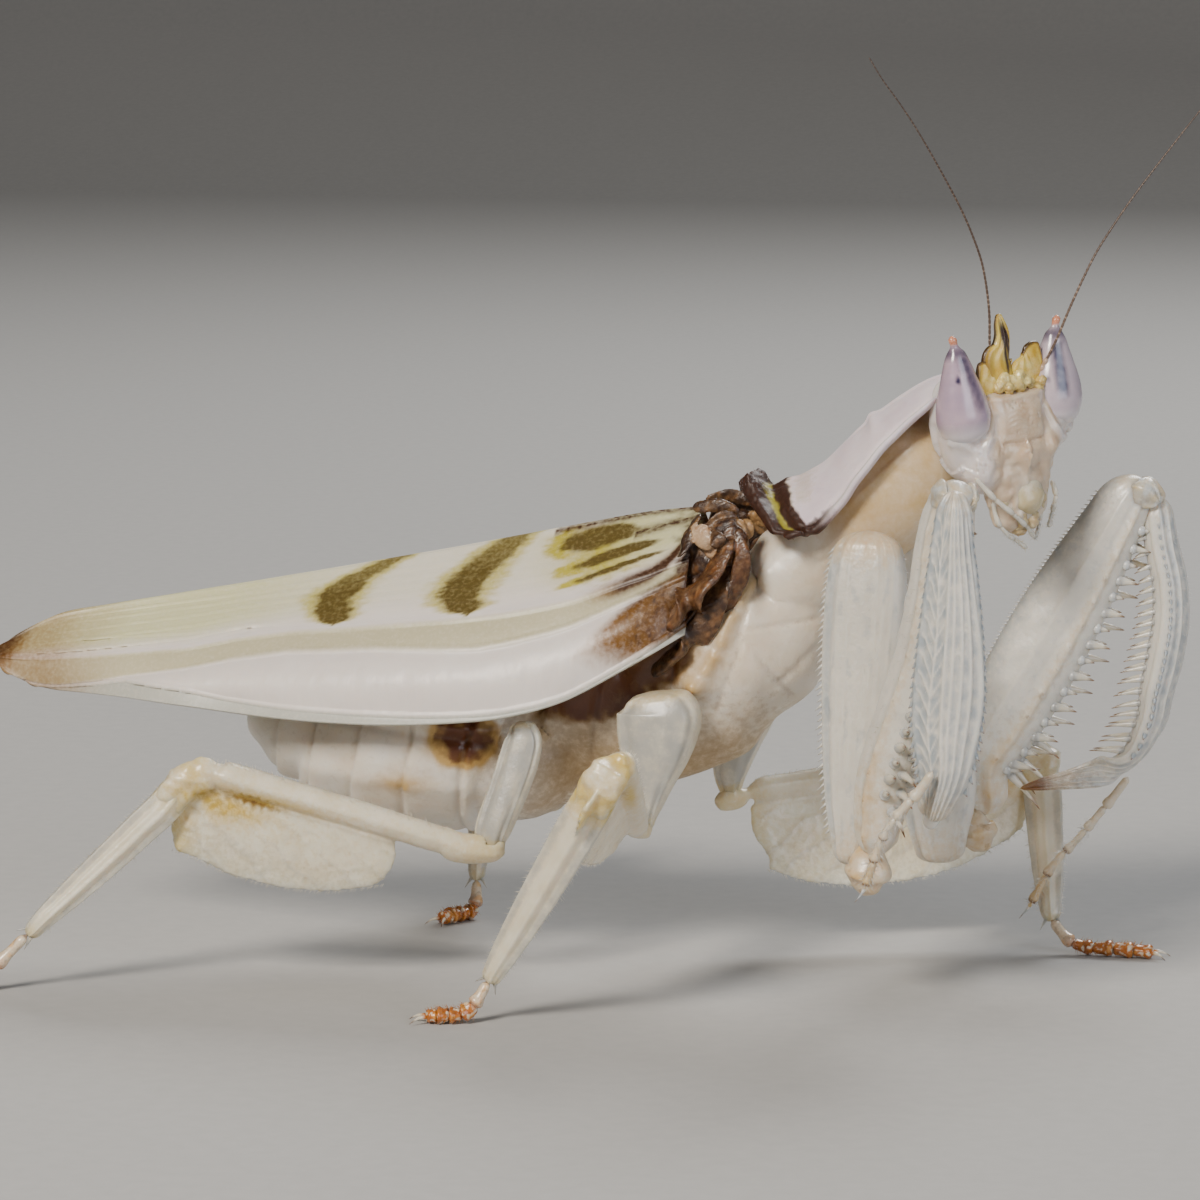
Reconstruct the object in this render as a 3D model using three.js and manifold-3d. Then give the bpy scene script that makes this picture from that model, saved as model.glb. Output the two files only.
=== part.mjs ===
// Orchid mantis (Hymenopus coronatus), adult female, standing on four legs with both
// raptorial forelegs raised and the head turned towards its right.
//
// Millimetres. +X is the way the body points, +Y its left side, +Z up, z = 0 the ground.
// The finished group is moved sideways so that its origin is the middle of its footprint.

import * as THREE from 'three';
import { mergeVertices } from 'three/addons/utils/BufferGeometryUtils.js';
import Module from 'manifold-3d';

const wasm = await Module();
wasm.setup();

// ------------------------------------------------------------------ driving dimensions

const clearance = 0.3; // gap between neighbouring parts
const soleHeight = 0; // level of the flat that each foot stands on

const head = {
  centre: [23.4, 0.6, 34.0],
  turn: -42, // degrees about +Z, towards the right side
  nod: 3, // degrees about +Y, face tipped down
  tilt: 6, // degrees about +X, right side lower
  eyeApart: 3.3, // middle of the head to the middle of an eye
  eyeLow: -3.0,
  eyeHigh: 3.9,
  hornHeight: 3.8,
  lobeHeights: { left: 2.2, right: 1.6 },
};

const wing = {
  thickness: 0.5,
  tipRound: 0.05, // share of the length over which the end rounds off
  tipOpen: 0.6, // width left at the very end, as a share
};

// Joint positions of the right and left forelegs.
const forelegs = {
  right: {
    coxaTop: [16.6, -4.6, 26.6],
    coxaEnd: [15.9, -8.0, 7.9],
    trochanter: [17.2, -8.5, 7.8],
    femurBase: [17.9, -9.2, 9.6],
    femurMiddle: [20.4, -9.8, 20.0],
    knee: [22.0, -10.6, 30.2],
    tibiaTop: [22.6, -13.4, 30.0],
    tibiaMiddle: [22.5, -13.3, 21.0],
    tibiaEnd: [22.1, -12.9, 13.2],
    clawTip: [21.0, -12.2, 11.6],
    tarsus: [[21.5, -14.2, 14.2], [19.3, -13.8, 11.6], [18.3, -13.2, 9.6], [17.7, -12.8, 7.6]],
    belly: [0.5, -0.87, 0], // the way the spines of the femur point
    tibiaBelly: [-0.1, 0.99, 0],
    coxaWidths: [1.9, 2.3, 2.1, 1.5, 0.7],
    back: 2.2, // half depth of the femur on the side away from its spines
    spineReach: 0.55, // folded leg: its spines are shortened
    spineSpread: 1.6, // how far the spines of the tibia splay sideways
  },
  left: {
    coxaTop: [18.0, 4.6, 27.0],
    coxaEnd: [19.3, 6.2, 5.6],
    trochanter: [21.0, 7.2, 7.3],
    femurBase: [21.9, 7.2, 8.6],
    femurMiddle: [26.5, 7.7, 18.6],
    knee: [30.8, 8.0, 28.5],
    tibiaTop: [31.7, 8.2, 27.4],
    tibiaMiddle: [32.9, 8.2, 20.2],
    tibiaEnd: [30.9, 8.0, 11.8],
    clawTip: [24.0, 6.6, 10.0],
    tarsus: [[29.6, 9.4, 10.2], [26.9, 9.2, 6.8], [25.3, 9.0, 5.0], [24.1, 8.8, 2.6]],
    belly: [0.84, 0.05, -0.54],
    tibiaBelly: [-0.95, 0, -0.3],
    coxaWidths: [1.9, 2.2, 2.3, 2.3, 1.4],
    back: 2.7,
    spineReach: 1,
    spineSpread: 0.3,
  },
};

// Joint positions of the four walking legs. `lobe` is the way the petal of the femur hangs,
// with its depth, its middle and half length as shares of the femur, and how much its knee
// end droops; `broad` is the way the tibia is widest.
const walkingLegs = {
  mid_leg_right: {
    hip: [5.0, -5.8, 17.2],
    coxaEnd: [3.7, -7.3, 9.2],
    knee: [5.3, -20.3, 15.7],
    ankle: [-2.8, -16.7, 2.3],
    heel: [-3.9, -17.2, 0.6],
    toe: [-6.2, -17.6, 0.32],
    lobe: [-0.5, 0, -0.87],
    lobeDepth: 4.4,
    lobeCentre: 0.6,
    lobeReach: 0.5,
    lobeDroop: 0,
    broad: [0.85, 0, -0.5],
  },
  mid_leg_left: {
    hip: [7.6, 5.4, 17.2],
    coxaEnd: [6.2, 6.9, 9.0],
    knee: [23.9, 14.6, 11.0],
    ankle: [25.4, 9.0, 1.8],
    heel: [26.8, 8.3, 0.6],
    toe: [31.6, 8.1, 0.32],
    lobe: [0, -0.3, -0.95],
    lobeDepth: 6.4,
    lobeCentre: 0.48,
    lobeReach: 0.5,
    lobeDroop: 0,
    broad: [1, 0, 0.15],
  },
  hind_leg_right: {
    hip: [-2.6, -6.0, 15.2],
    coxaEnd: [-5.2, -8.1, 7.9],
    knee: [-20.7, -11.3, 12.6],
    ankle: [-30.4, -14.3, 3.3],
    heel: [-33.0, -15.0, 0.7],
    toe: [-36.8, -15.6, 0.32],
    lobe: [0, 0.15, -1],
    lobeDepth: 5.4,
    lobeCentre: 0.74,
    lobeReach: 0.52,
    lobeDroop: 2.6,
    broad: [0, 0, -1],
  },
  hind_leg_left: {
    hip: [-2.6, 5.8, 15.0],
    coxaEnd: [-4.9, 7.4, 8.2],
    knee: [-10.6, 18.4, 14.6],
    ankle: [-10.3, 12.0, 2.2],
    heel: [-10.2, 11.2, 0.6],
    toe: [-11.8, 8.9, 0.32],
    lobe: [-0.1, 0, -1],
    lobeDepth: 4.8,
    lobeCentre: 0.62,
    lobeReach: 0.5,
    lobeDroop: 0,
    broad: [1, 0, 0],
  },
};

const colours = {
  cuticle: 0xe6dfd8,
  face: 0xd8c4b4,
  eye: 0xb9a8c0,
  crown: 0xd0b040,
  antenna: 0x5a3a28,
  pronotum: 0xe9dfe4,
  neck: 0xd9b98a,
  pleura: 0xe4dccd,
  wingRoot: 0x6a3018,
  wing: 0xe8dccb,
  hindwing: 0xe2dccb,
  abdomen: 0xdad5ca,
  leg: 0xdedbd2,
  trochanter: 0xcdb18a,
};

// --------------------------------------------------------------------- shape functions

const vector = (list) => new THREE.Vector3(...list);

const smoothLine = (points) => new THREE.CatmullRomCurve3(points.map(vector));

// Turns the faces of a closed geometry outwards when its volume comes out negative.
function outward(geometry) {
  const place = geometry.attributes.position;
  const index = geometry.index.array;
  const corners = [new THREE.Vector3(), new THREE.Vector3(), new THREE.Vector3()];
  let volume = 0;
  for (let i = 0; i < index.length; i += 3) {
    corners.forEach((corner, k) => corner.fromBufferAttribute(place, index[i + k]));
    volume += corners[0].dot(corners[1].clone().cross(corners[2]));
  }
  if (volume < 0) {
    for (let i = 0; i < index.length; i += 3) {
      [index[i], index[i + 1]] = [index[i + 1], index[i]];
    }
  }
  return geometry;
}

function toSolid(geometry) {
  const bare = geometry.clone();
  bare.deleteAttribute('normal');
  bare.deleteAttribute('uv');
  const merged = mergeVertices(bare, 1e-4);
  const mesh = new wasm.Mesh({
    numProp: 3,
    vertProperties: new Float32Array(merged.attributes.position.array),
    triVerts: new Uint32Array(merged.index.array),
  });
  return new wasm.Manifold(mesh);
}

function toGeometry(solid) {
  const { vertProperties, triVerts } = solid.getMesh();
  const geometry = new THREE.BufferGeometry();
  geometry.setAttribute('position', new THREE.BufferAttribute(vertProperties, 3));
  geometry.setIndex(new THREE.BufferAttribute(triVerts, 1));
  return geometry;
}

function join(first, ...others) {
  return toGeometry(others.reduce((solid, other) => solid.add(toSolid(other)), toSolid(first)));
}

function cut(first, ...tools) {
  return toGeometry(tools.reduce((solid, tool) => solid.subtract(toSolid(tool)), toSolid(first)));
}

// A closed body along a smooth line. A station is [centre, half sizes]; the half sizes are
// [across, through] or [left, right, over, under], where `across` is the given direction
// and `over` is line x across. `blunt` is the length over which each end rounds off, and
// `grow` makes the same body larger all round.
function loft(stations, across, options = {}) {
  const { sides = 8, steps = 10, blunt = 0.8, grow = 0 } = options;
  const halves = stations.map(([, size]) => (size.length === 2
    ? [size[0], size[0], size[1], size[1]] : size));
  const line = smoothLine(stations.map(([centre]) => centre));
  const widths = new THREE.SplineCurve(halves.map(([a, b]) => new THREE.Vector2(a, b)));
  const depths = new THREE.SplineCurve(halves.map(([, , a, b]) => new THREE.Vector2(a, b)));
  const length = line.getLength();
  const geometry = new THREE.SphereGeometry(1, sides, steps);
  const place = geometry.attributes.position;
  for (let row = 0; row <= steps; row++) {
    const share = (1 - Math.cos(Math.PI * row / steps)) / 2;
    const reach = THREE.MathUtils.lerp(-grow, length + grow, share);
    const along = THREE.MathUtils.clamp(reach, 0, length);
    const t = line.getUtoTmapping(along / length);
    const tangent = line.getTangent(t);
    const centre = line.getPoint(t).addScaledVector(tangent, reach - along);
    const wide = vector(across).projectOnPlane(tangent).normalize();
    const over = tangent.clone().cross(wide);
    const toEnd = Math.min(share, 1 - share) * (length + 2 * grow);
    const closing = toEnd < blunt ? Math.sqrt(1 - (1 - toEnd / blunt) ** 2) : 1;
    const width = widths.getPoint(t);
    const depth = depths.getPoint(t);
    for (let side = 0; side <= sides; side++) {
      const angle = 2 * Math.PI * (side % sides) / sides;
      const cosine = Math.cos(angle);
      const sine = Math.sin(angle);
      const halfWidth = (cosine > 0 ? width.x : width.y) + grow;
      const halfDepth = (sine > 0 ? depth.x : depth.y) + grow;
      const point = centre.clone()
        .addScaledVector(wide, cosine * halfWidth * closing)
        .addScaledVector(over, sine * halfDepth * closing);
      place.setXYZ(row * (sides + 1) + side, point.x, point.y, point.z);
    }
  }
  return outward(geometry);
}

// A plate of even thickness over a curved sheet; sheet(u, v) gives its middle surface and
// `grow` makes the same plate larger all round.
function plate(sheet, thickness, along, across, grow = 0) {
  const geometry = new THREE.BoxGeometry(1, 1, 1, along, across, 1);
  const place = geometry.attributes.position;
  const nudge = 0.01;
  const edgeSide = (share) => Math.sign(share - 0.5) * (share < nudge || share > 1 - nudge);
  for (let i = 0; i < place.count; i++) {
    const u = place.getX(i) + 0.5;
    const v = place.getY(i) + 0.5;
    const alongStep = sheet(Math.min(u + nudge, 1), v).sub(sheet(Math.max(u - nudge, 0), v)).normalize();
    const acrossStep = sheet(u, Math.min(v + nudge, 1)).sub(sheet(u, Math.max(v - nudge, 0))).normalize();
    const normal = alongStep.clone().cross(acrossStep).normalize();
    const point = sheet(u, v)
      .addScaledVector(normal, (thickness + 2 * grow) * place.getZ(i))
      .addScaledVector(alongStep, grow * edgeSide(u))
      .addScaledVector(acrossStep, grow * edgeSide(v));
    place.setXYZ(i, point.x, point.y, point.z);
  }
  return outward(geometry);
}

// A pointed spine with its foot sunk into the part it grows from.
function spine(foot, direction, length, radius, sides = 3) {
  const sunk = 0.3;
  const geometry = new THREE.ConeGeometry(radius, length + sunk, sides, 1);
  geometry.translate(0, (length - sunk) / 2, 0);
  const way = vector(direction).normalize();
  geometry.applyQuaternion(new THREE.Quaternion().setFromUnitVectors(vector([0, 1, 0]), way));
  return geometry.translate(foot.x, foot.y, foot.z);
}

// A point between two joints, moved by `shift` along `way`.
function between(from, to, share, way = [0, 0, 0], shift = 0) {
  return vector(from).lerp(vector(to), share).addScaledVector(vector(way), shift).toArray();
}

// A block that reaches far below the ground, for cutting a foot flat.
function ground() {
  const size = 120;
  return new THREE.BoxGeometry(size, size, size).translate(0, 0, soleHeight - size / 2);
}

// --------------------------------------------------------------------------- the model

const model = new THREE.Group();
const headGroup = new THREE.Group();
headGroup.position.set(...head.centre);
headGroup.rotation.set(...[head.tilt, head.nod, head.turn].map(THREE.MathUtils.degToRad), 'ZYX');
headGroup.updateMatrix();
model.add(headGroup);

// A shape of the head, moved from the head's own frame to the body's.
const onTrunk = (geometry) => geometry.applyMatrix4(headGroup.matrix);

function add(name, geometry, colour, parent = model, roughness = 0.45) {
  const material = new THREE.MeshStandardMaterial({ color: colour, roughness, metalness: 0 });
  const mesh = new THREE.Mesh(geometry, material);
  mesh.name = name;
  parent.add(mesh);
}

// Everything from here to `makeMouth` is in the head's own frame: +X the way the face
// looks, +Y its left, +Z up, origin between the eyes.

// A tall conical eye that ends in a small tubercle. It is widest from the inner front to
// the outer back.
function eye(side, grow = 0) {
  const y = side * head.eyeApart;
  return loft([
    [[0.5, y - side * 0.1, head.eyeLow], [1.1, 0.9]],
    [[0.4, y, -1.4], [1.65, 1.3]],
    [[0.3, y + side * 0.05, 0.4], [1.5, 1.2]],
    [[0.2, y + side * 0.25, 2.2], [0.9, 0.8]],
    [[0.2, y + side * 0.5, head.eyeHigh], [0.3, 0.3]],
  ], [-0.5, side * 0.85, 0], { sides: 8, steps: 8, blunt: 1.1, grow });
}

const vertexHeight = 1.3; // top of the head between the eyes

// The face from the mouth up to the middle of the eyes.
const faceStations = [
  [[1.3, 0, -6.6], [1.2, 0.7]],
  [[0.9, 0, -5.2], [1.9, 1.2]],
  [[0.5, 0, -3.8], [3.3, 1.7]],
  [[-0.2, 0, -2.3], [4.8, 4.8, 2.2, 2.1]],
];

function capsule(grow = 0) {
  return loft([
    ...faceStations,
    [[-0.4, 0, -0.8], [5.1, 5.1, 2.1, 2.1]],
    [[-0.2, 0, vertexHeight], [2.2, 2.2, 1.5, 1.2]],
  ], [0, 1, 0], { sides: 10, steps: 9, blunt: 1.0, grow });
}

function makeHead() {
  const ocelli = [[1.15, -0.05, 0.6], [0.6, 0.5, 1.25], [0.5, -0.6, 1.2]];
  const beads = ocelli.map((place) => new THREE.SphereGeometry(0.38, 5, 4).translate(...place));
  const hollowed = cut(join(capsule(), ...beads), eye(1, clearance), eye(-1, clearance),
    horn(clearance), crownLobe(1, clearance), crownLobe(-1, clearance));
  add('head_capsule', hollowed, colours.face, headGroup);
  add('eye_left', eye(1), colours.eye, headGroup, 0.25);
  add('eye_right', eye(-1), colours.eye, headGroup, 0.25);
  add('crown_horn', horn(), colours.crown, headGroup);
  for (const [name, side] of [['left', 1], ['right', -1]]) {
    const lobe = cut(crownLobe(side), eye(side, clearance), horn(clearance));
    add(`crown_lobe_${name}`, lobe, colours.crown, headGroup);
  }
}

// The pointed process on the top of the head.
function horn(grow = 0) {
  const low = vertexHeight - 0.7;
  return loft([
    [[-0.2, -0.2, low], [1.25, 0.6]],
    [[-0.3, -0.1, low + head.hornHeight * 0.5], [0.6, 0.45]],
    [[-0.4, 0, low + head.hornHeight], [0.26, 0.26]],
  ], [0, 1, 0], { sides: 6, steps: 6, blunt: 0.4, grow });
}

// The flat triangular lobe between the horn and an eye.
function crownLobe(side, grow = 0) {
  const low = vertexHeight - 0.8;
  const height = side > 0 ? head.lobeHeights.left : head.lobeHeights.right;
  return loft([
    [[0.1, side * 1.8, low], [1.0, 0.4]],
    [[0.0, side * 2.0, low + height * 0.5], [0.7, 0.35]],
    [[0.0, side * (1.3 + height * 0.5), low + height], [0.26, 0.26]],
  ], [0, 1, 0], { sides: 6, steps: 5, blunt: 0.35, grow });
}

function makeMouth() {
  const clypeus = loft([
    [[2.0, -0.2, -4.6], [1.2, 0.4]],
    [[2.2, -0.2, -5.9], [1.3, 0.7]],
    [[2.1, -0.2, -7.0], [1.15, 0.75]],
    [[1.8, -0.2, -8.0], [0.7, 0.5]],
  ], [0, 1, 0], { sides: 6, steps: 6, blunt: 0.6 });
  const mandibles = loft([
    [[0.6, 0, -6.8], [1.1, 0.5]],
    [[0.6, 0, -7.5], [1.0, 0.45]],
    [[0.8, 0, -8.3], [0.6, 0.35]],
  ], [0, 1, 0], { sides: 6, steps: 5, blunt: 0.5 });
  const chin = loft(faceStations, [0, 1, 0], { sides: 10, steps: 7, blunt: 1.0, grow: clearance });
  add('clypeus', cut(clypeus, chin), colours.face, headGroup);
  add('mandibles', cut(mandibles, chin), colours.face, headGroup);
  for (const [name, route] of Object.entries(palpRoutes)) {
    add(name, palp(route), colours.cuticle, headGroup);
  }
}

const palpRoutes = {
  maxillary_palp_left: [[0.6, 2.2, -5.2], [1.0, 2.2, -6.2], [1.1, 2.0, -7.2], [1.2, 1.6, -8.2]],
  maxillary_palp_right: [[0.4, -2.8, -4.9], [1.9, -2.2, -5.9], [3.0, -1.8, -7.1], [3.4, -1.1, -8.2]],
  labial_palp_left: [[0.2, 1.1, -6.9], [0.3, 1.0, -7.8], [0.7, 0.3, -9.1]],
  labial_palp_right: [[0.5, -1.9, -6.3], [0.8, -1.8, -7.6], [1.7, -1.0, -8.9]],
};

function palp(points) {
  const radius = 0.27;
  return loft(points.map((point) => [point, [radius, radius]]), [0, 1, 0.2],
    { sides: 5, steps: 6, blunt: radius });
}

const antennaRoutes = {
  antenna_left: [
    [25.7, 0.7, 35.7], [26.9, 1.4, 38.8], [28.6, 2.4, 42.5], [34.0, 4.4, 50.1], [37.3, 5.2, 54.1],
  ],
  antenna_right: [
    [23.3, -1.0, 35.4], [23.1, -1.8, 38.6], [22.3, -3.4, 42.6], [19.2, -7.4, 49.6], [17.0, -9.8, 53.2],
  ],
};

function makeAntennae() {
  const radius = 0.26;
  for (const [name, route] of Object.entries(antennaRoutes)) {
    add(name, loft(route.map((point) => [point, [radius, radius]]), [0, 1, 0],
      { sides: 5, steps: 13, blunt: radius }), colours.antenna);
  }
}

// ------------------------------------------------------------------------------- trunk

function prothorax(grow = 0) {
  return loft([
    [[9.6, 0, 25.2], [1.8, 1.8, 1.5, 2.0]],
    [[12.4, 0, 26.1], [2.7, 2.7, 1.6, 4.0]],
    [[15.6, 0, 28.4], [2.9, 2.9, 2.2, 4.6]],
    [[18.2, 0, 31.0], [2.4, 2.4, 1.9, 3.6]],
    [[19.8, 0, 32.6], [1.8, 1.8, 1.4, 2.2]],
  ], [0, 1, 0], { sides: 10, steps: 9, blunt: 1.2, grow });
}

function mesothorax(grow = 0) {
  return loft([
    [[13.6, 0, 22.6], [1.6, 1.6, 1.2, 1.4]],
    [[11.6, 0, 22.2], [3.2, 3.2, 2.2, 3.6]],
    [[8.4, 0, 21.2], [4.2, 4.2, 4.4, 6.4]],
    [[5.0, 0, 20.2], [4.3, 4.3, 4.8, 7.6]],
    [[3.5, 0, 19.8], [4.1, 4.1, 4.6, 7.6]],
  ], [0, -1, 0], { sides: 10, steps: 9, blunt: 1.0, grow });
}

function metathorax(grow = 0) {
  return loft([
    [[3.1, 0, 19.2], [4.0, 4.0, 4.4, 7.8]],
    [[0.2, 0, 18.2], [4.2, 4.2, 4.4, 7.9]],
    [[-2.9, 0, 17.0], [4.1, 4.1, 4.0, 6.9]],
  ], [0, -1, 0], { sides: 12, steps: 8, blunt: 0.9, grow });
}

const pronotumLines = {
  middle: [
    [8.3, 0, 28.0], [11.3, 0, 28.5], [14.4, 0, 30.9], [16.4, 0, 32.7], [18.9, 0, 34.4], [20.6, 0, 35.0],
  ],
  edge: [
    [11.6, 4.3, 25.0], [13.4, 4.3, 26.3], [15.6, 4.1, 29.2], [17.4, 3.7, 31.4], [19.2, 3.0, 33.2],
    [20.3, 1.9, 34.3],
  ],
};

// The shield over the prothorax: a saddle with a raised middle line and side edges that
// come down and forward at the back corners.
function pronotumSheet(u, v) {
  const middle = smoothLine(pronotumLines.middle).getPoint(u);
  const edge = smoothLine(pronotumLines.edge).getPoint(u);
  const side = 2 * v - 1;
  const away = Math.abs(side);
  return new THREE.Vector3(
    THREE.MathUtils.lerp(middle.x, edge.x, away ** 1.6),
    edge.y * side,
    THREE.MathUtils.lerp(middle.z, edge.z, away ** 2.2),
  );
}

function pronotum(grow = 0) {
  return plate(pronotumSheet, 0.6, 8, 6, grow);
}

function abdomen() {
  return loft([
    [[-3.6, 0, 15.6], [4.3, 4.3, 3.6, 5.4]],
    [[-7.0, 0, 14.5], [5.6, 5.6, 4.2, 6.6]],
    [[-11.0, 0, 13.7], [6.0, 6.0, 4.2, 6.1]],
    [[-15.0, 0, 13.7], [5.1, 5.1, 3.5, 5.0]],
    [[-18.6, 0, 14.2], [3.3, 3.3, 2.2, 2.8]],
    [[-21.2, 0, 14.8], [1.3, 1.3, 0.9, 0.9]],
  ], [0, -1, 0], { sides: 12, steps: 10, blunt: 1.2 });
}

// The abdomen is parted into rings by thin cuts that lean back towards the belly.
function makeAbdomen() {
  const cuts = [-6.4, -9.7, -12.9, -15.8, -18.4];
  const ends = [5, -30];
  const lean = 0.18;
  const middle = 14;
  const reach = 30;
  const whole = abdomen();
  for (let ring = 0; ring <= cuts.length; ring++) {
    const front = ring === 0 ? ends[0] : cuts[ring - 1] - clearance / 2;
    const back = ring === cuts.length ? ends[1] : cuts[ring] + clearance / 2;
    const slab = new THREE.BoxGeometry(front - back, reach, reach);
    slab.applyMatrix4(new THREE.Matrix4().makeShear(0, 0, 0, 0, lean, 0));
    slab.translate((front + back) / 2, 0, middle);
    const piece = toGeometry(toSolid(whole).intersect(toSolid(slab)));
    add(`abdomen_${ring + 1}`, piece, colours.abdomen);
  }
  for (const [name, side] of [['left', 1], ['right', -1]]) {
    add(`cercus_${name}`, loft([
      [[-21.4, side * 1.1, 15.9], [0.3, 0.3]],
      [[-22.6, side * 1.5, 16.0], [0.32, 0.32]],
      [[-24.0, side * 1.8, 15.9], [0.25, 0.25]],
    ], [0, 1, 0], { sides: 6, steps: 6, blunt: 0.3 }), colours.abdomen);
  }
}

function makeTrunk() {
  const neck = loft([
    [[19.9, 0, 33.0], [1.5, 1.5]],
    [[21.0, 0.1, 33.6], [1.6, 1.6]],
    [[22.2, 0.3, 34.0], [1.5, 1.5]],
  ], [0, 1, 0], { sides: 8, steps: 4, blunt: 0.8 });
  const headRoom = onTrunk(capsule(clearance));
  const shieldRoom = pronotum(clearance);
  add('neck', cut(neck, prothorax(clearance), shieldRoom, headRoom), colours.neck);
  add('prothorax', cut(prothorax(), shieldRoom, headRoom), colours.neck);
  add('pronotum', cut(pronotum(), onTrunk(eye(-1, clearance)), headRoom), colours.pronotum);
  const middleSegment = cut(mesothorax(), prothorax(clearance), metathorax(clearance), shieldRoom);
  add('mesothorax', middleSegment, colours.pleura);
  add('metathorax', metathorax(), colours.pleura);
}

// ------------------------------------------------------------------------------- wings

// Upper edge, ridge and lower edge of a folded forewing, from the hinge to the tip, as
// (distance along x, distance out from the middle plane, height).
const wingLines = {
  upper: [
    [6.0, 0.5, 27.0], [-0.6, 0.4, 25.7], [-7.7, 0.4, 24.2],
    [-18, 0.4, 22.2], [-28, 0.4, 20.4], [-35.9, 0.4, 19.0],
  ],
  ridge: [
    [6.0, 4.4, 24.2], [-1, 6.1, 21.1], [-7.5, 6.3, 20.3],
    [-18, 4.9, 18.9], [-28, 3.4, 17.9], [-36.4, 1.7, 17.4],
  ],
  lower: [
    [6.0, 5.4, 20.4], [-1.2, 8.0, 16.5], [-7, 8.3, 15.4],
    [-17, 7.6, 15.2], [-27, 4.8, 15.8], [-36.0, 2.5, 15.6],
  ],
};

function wingSheet(side, lines) {
  const curves = [lines.upper, lines.ridge, lines.lower].map(smoothLine);
  return (u, v) => {
    const across = new THREE.CatmullRomCurve3(curves.map((curve) => curve.getPoint(u)));
    const left = (1 - u) / wing.tipRound;
    const open = left < 1 ? Math.max(Math.sqrt(1 - (1 - left) ** 2), wing.tipOpen) : 1;
    const point = across.getPoint(0.5 + (v - 0.5) * open);
    return new THREE.Vector3(point.x, side * point.y, point.z);
  };
}

// A hindwing lies under its forewing, closer to the abdomen.
const hindwingLines = {
  upper: [[2.0, 0.5, 24.0], [-8, 0.5, 22.4], [-18, 0.5, 20.6], [-31, 0.5, 18.0]],
  ridge: [[2.0, 3.6, 22.2], [-8, 4.6, 19.8], [-18, 3.5, 18.2], [-31, 1.6, 17.0]],
  lower: [[2.0, 5.6, 19.4], [-8, 6.9, 16.8], [-18, 5.6, 16.2], [-31, 2.4, 16.2]],
};

function makeWings() {
  for (const [name, side] of [['left', 1], ['right', -1]]) {
    const forewing = (grow) => plate(wingSheet(side, wingLines), wing.thickness, 11, 4, grow);
    add(`forewing_${name}`, forewing(0), colours.wing);
    add(`hindwing_${name}`, plate(wingSheet(side, hindwingLines), wing.thickness, 8, 4), colours.hindwing);
    const hinge = loft([
      [[8.0, side * 2.0, 26.4], [1.0, 0.7]],
      [[8.0, side * 4.4, 24.0], [1.3, 0.7]],
      [[7.2, side * 5.2, 21.2], [1.2, 0.6]],
      [[5.6, side * 5.4, 18.9], [0.7, 0.4]],
    ], [1, 0, 0], { sides: 8, steps: 6, blunt: 0.7 });
    const root = cut(hinge, mesothorax(clearance), forewing(clearance), pronotum(clearance));
    add(`wing_root_${name}`, root, colours.wingRoot);
  }
}

// ------------------------------------------------------------------------ raptorial legs

function foreFemur(leg, grow = 0) {
  return loft([
    [leg.femurBase, [1.3, 1.3, 1.7, leg.back * 0.75]],
    [between(leg.femurBase, leg.femurMiddle, 0.4), [1.5, 1.5, 2.2, leg.back]],
    [leg.femurMiddle, [1.5, 1.5, 2.1, leg.back * 0.95]],
    [between(leg.femurMiddle, leg.knee, 0.6), [1.4, 1.4, 1.7, leg.back * 0.72]],
    [leg.knee, [1.5, 1.5, 1.4, leg.back * 0.62]],
  ], vector(leg.belly).cross(bone(leg.femurBase, leg.knee)).toArray(),
  { sides: 8, steps: 10, blunt: 1.4, grow });
}

function bone(from, to) {
  return vector(to).sub(vector(from)).normalize();
}

function makeForeleg(name, leg) {
  const axis = bone(leg.femurBase, leg.knee);
  const belly = vector(leg.belly).projectOnPlane(axis).normalize();
  const across = belly.clone().cross(axis);
  const coxa = loft([
    [leg.coxaTop, [leg.coxaWidths[0], 1.2]],
    [between(leg.coxaTop, leg.coxaEnd, 0.2), [leg.coxaWidths[1], 1.3]],
    [between(leg.coxaTop, leg.coxaEnd, 0.5), [leg.coxaWidths[2], 1.15]],
    [between(leg.coxaTop, leg.coxaEnd, 0.8), [leg.coxaWidths[3], 0.95]],
    [leg.coxaEnd, [leg.coxaWidths[4], 0.7]],
  ], [1, 0, 0], { sides: 8, steps: 10, blunt: 1.2 });
  const trochanter = (grow) => loft([
    [between(leg.trochanter, leg.femurBase, -0.7), [1.0, 1.2]],
    [leg.trochanter, [1.1, 1.5]],
    [between(leg.trochanter, leg.femurBase, 0.6), [1.0, 1.4]],
  ], across.toArray(), { sides: 8, steps: 6, blunt: 1.0, grow });
  const femur = join(foreFemur(leg), ...femurSpines(leg, axis, belly, across));
  add(`foreleg_${name}_coxa`, cut(coxa, prothorax(clearance), foreFemur(leg, clearance),
    trochanter(clearance)), colours.leg);
  add(`foreleg_${name}_trochanter`, cut(trochanter(0), foreFemur(leg, clearance)), colours.trochanter);
  add(`foreleg_${name}_femur`, femur, colours.leg);
  add(`foreleg_${name}_tibia`, cut(foreTibia(leg), foreFemur(leg, clearance)), colours.leg);
  add(`foreleg_${name}_tarsus`, foreTarsus(leg), colours.trochanter);
}

// Spines of the forelegs: how many, where they begin and end as shares of the length, how
// far from the middle line they stand, and their radius.
const femurRow = { count: 13, from: 0.16, to: 0.82, aside: 0.55, long: 1.7, short: 1.1, radius: 0.27 };
const discoidalRow = { count: 3, from: 0.05, step: 0.05, long: 2.0, radius: 0.3 };
const tibiaRow = { count: 9, from: 0.14, to: 0.9, aside: 1.0, first: 0.6, last: 1.9, radius: 0.25 };

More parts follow.
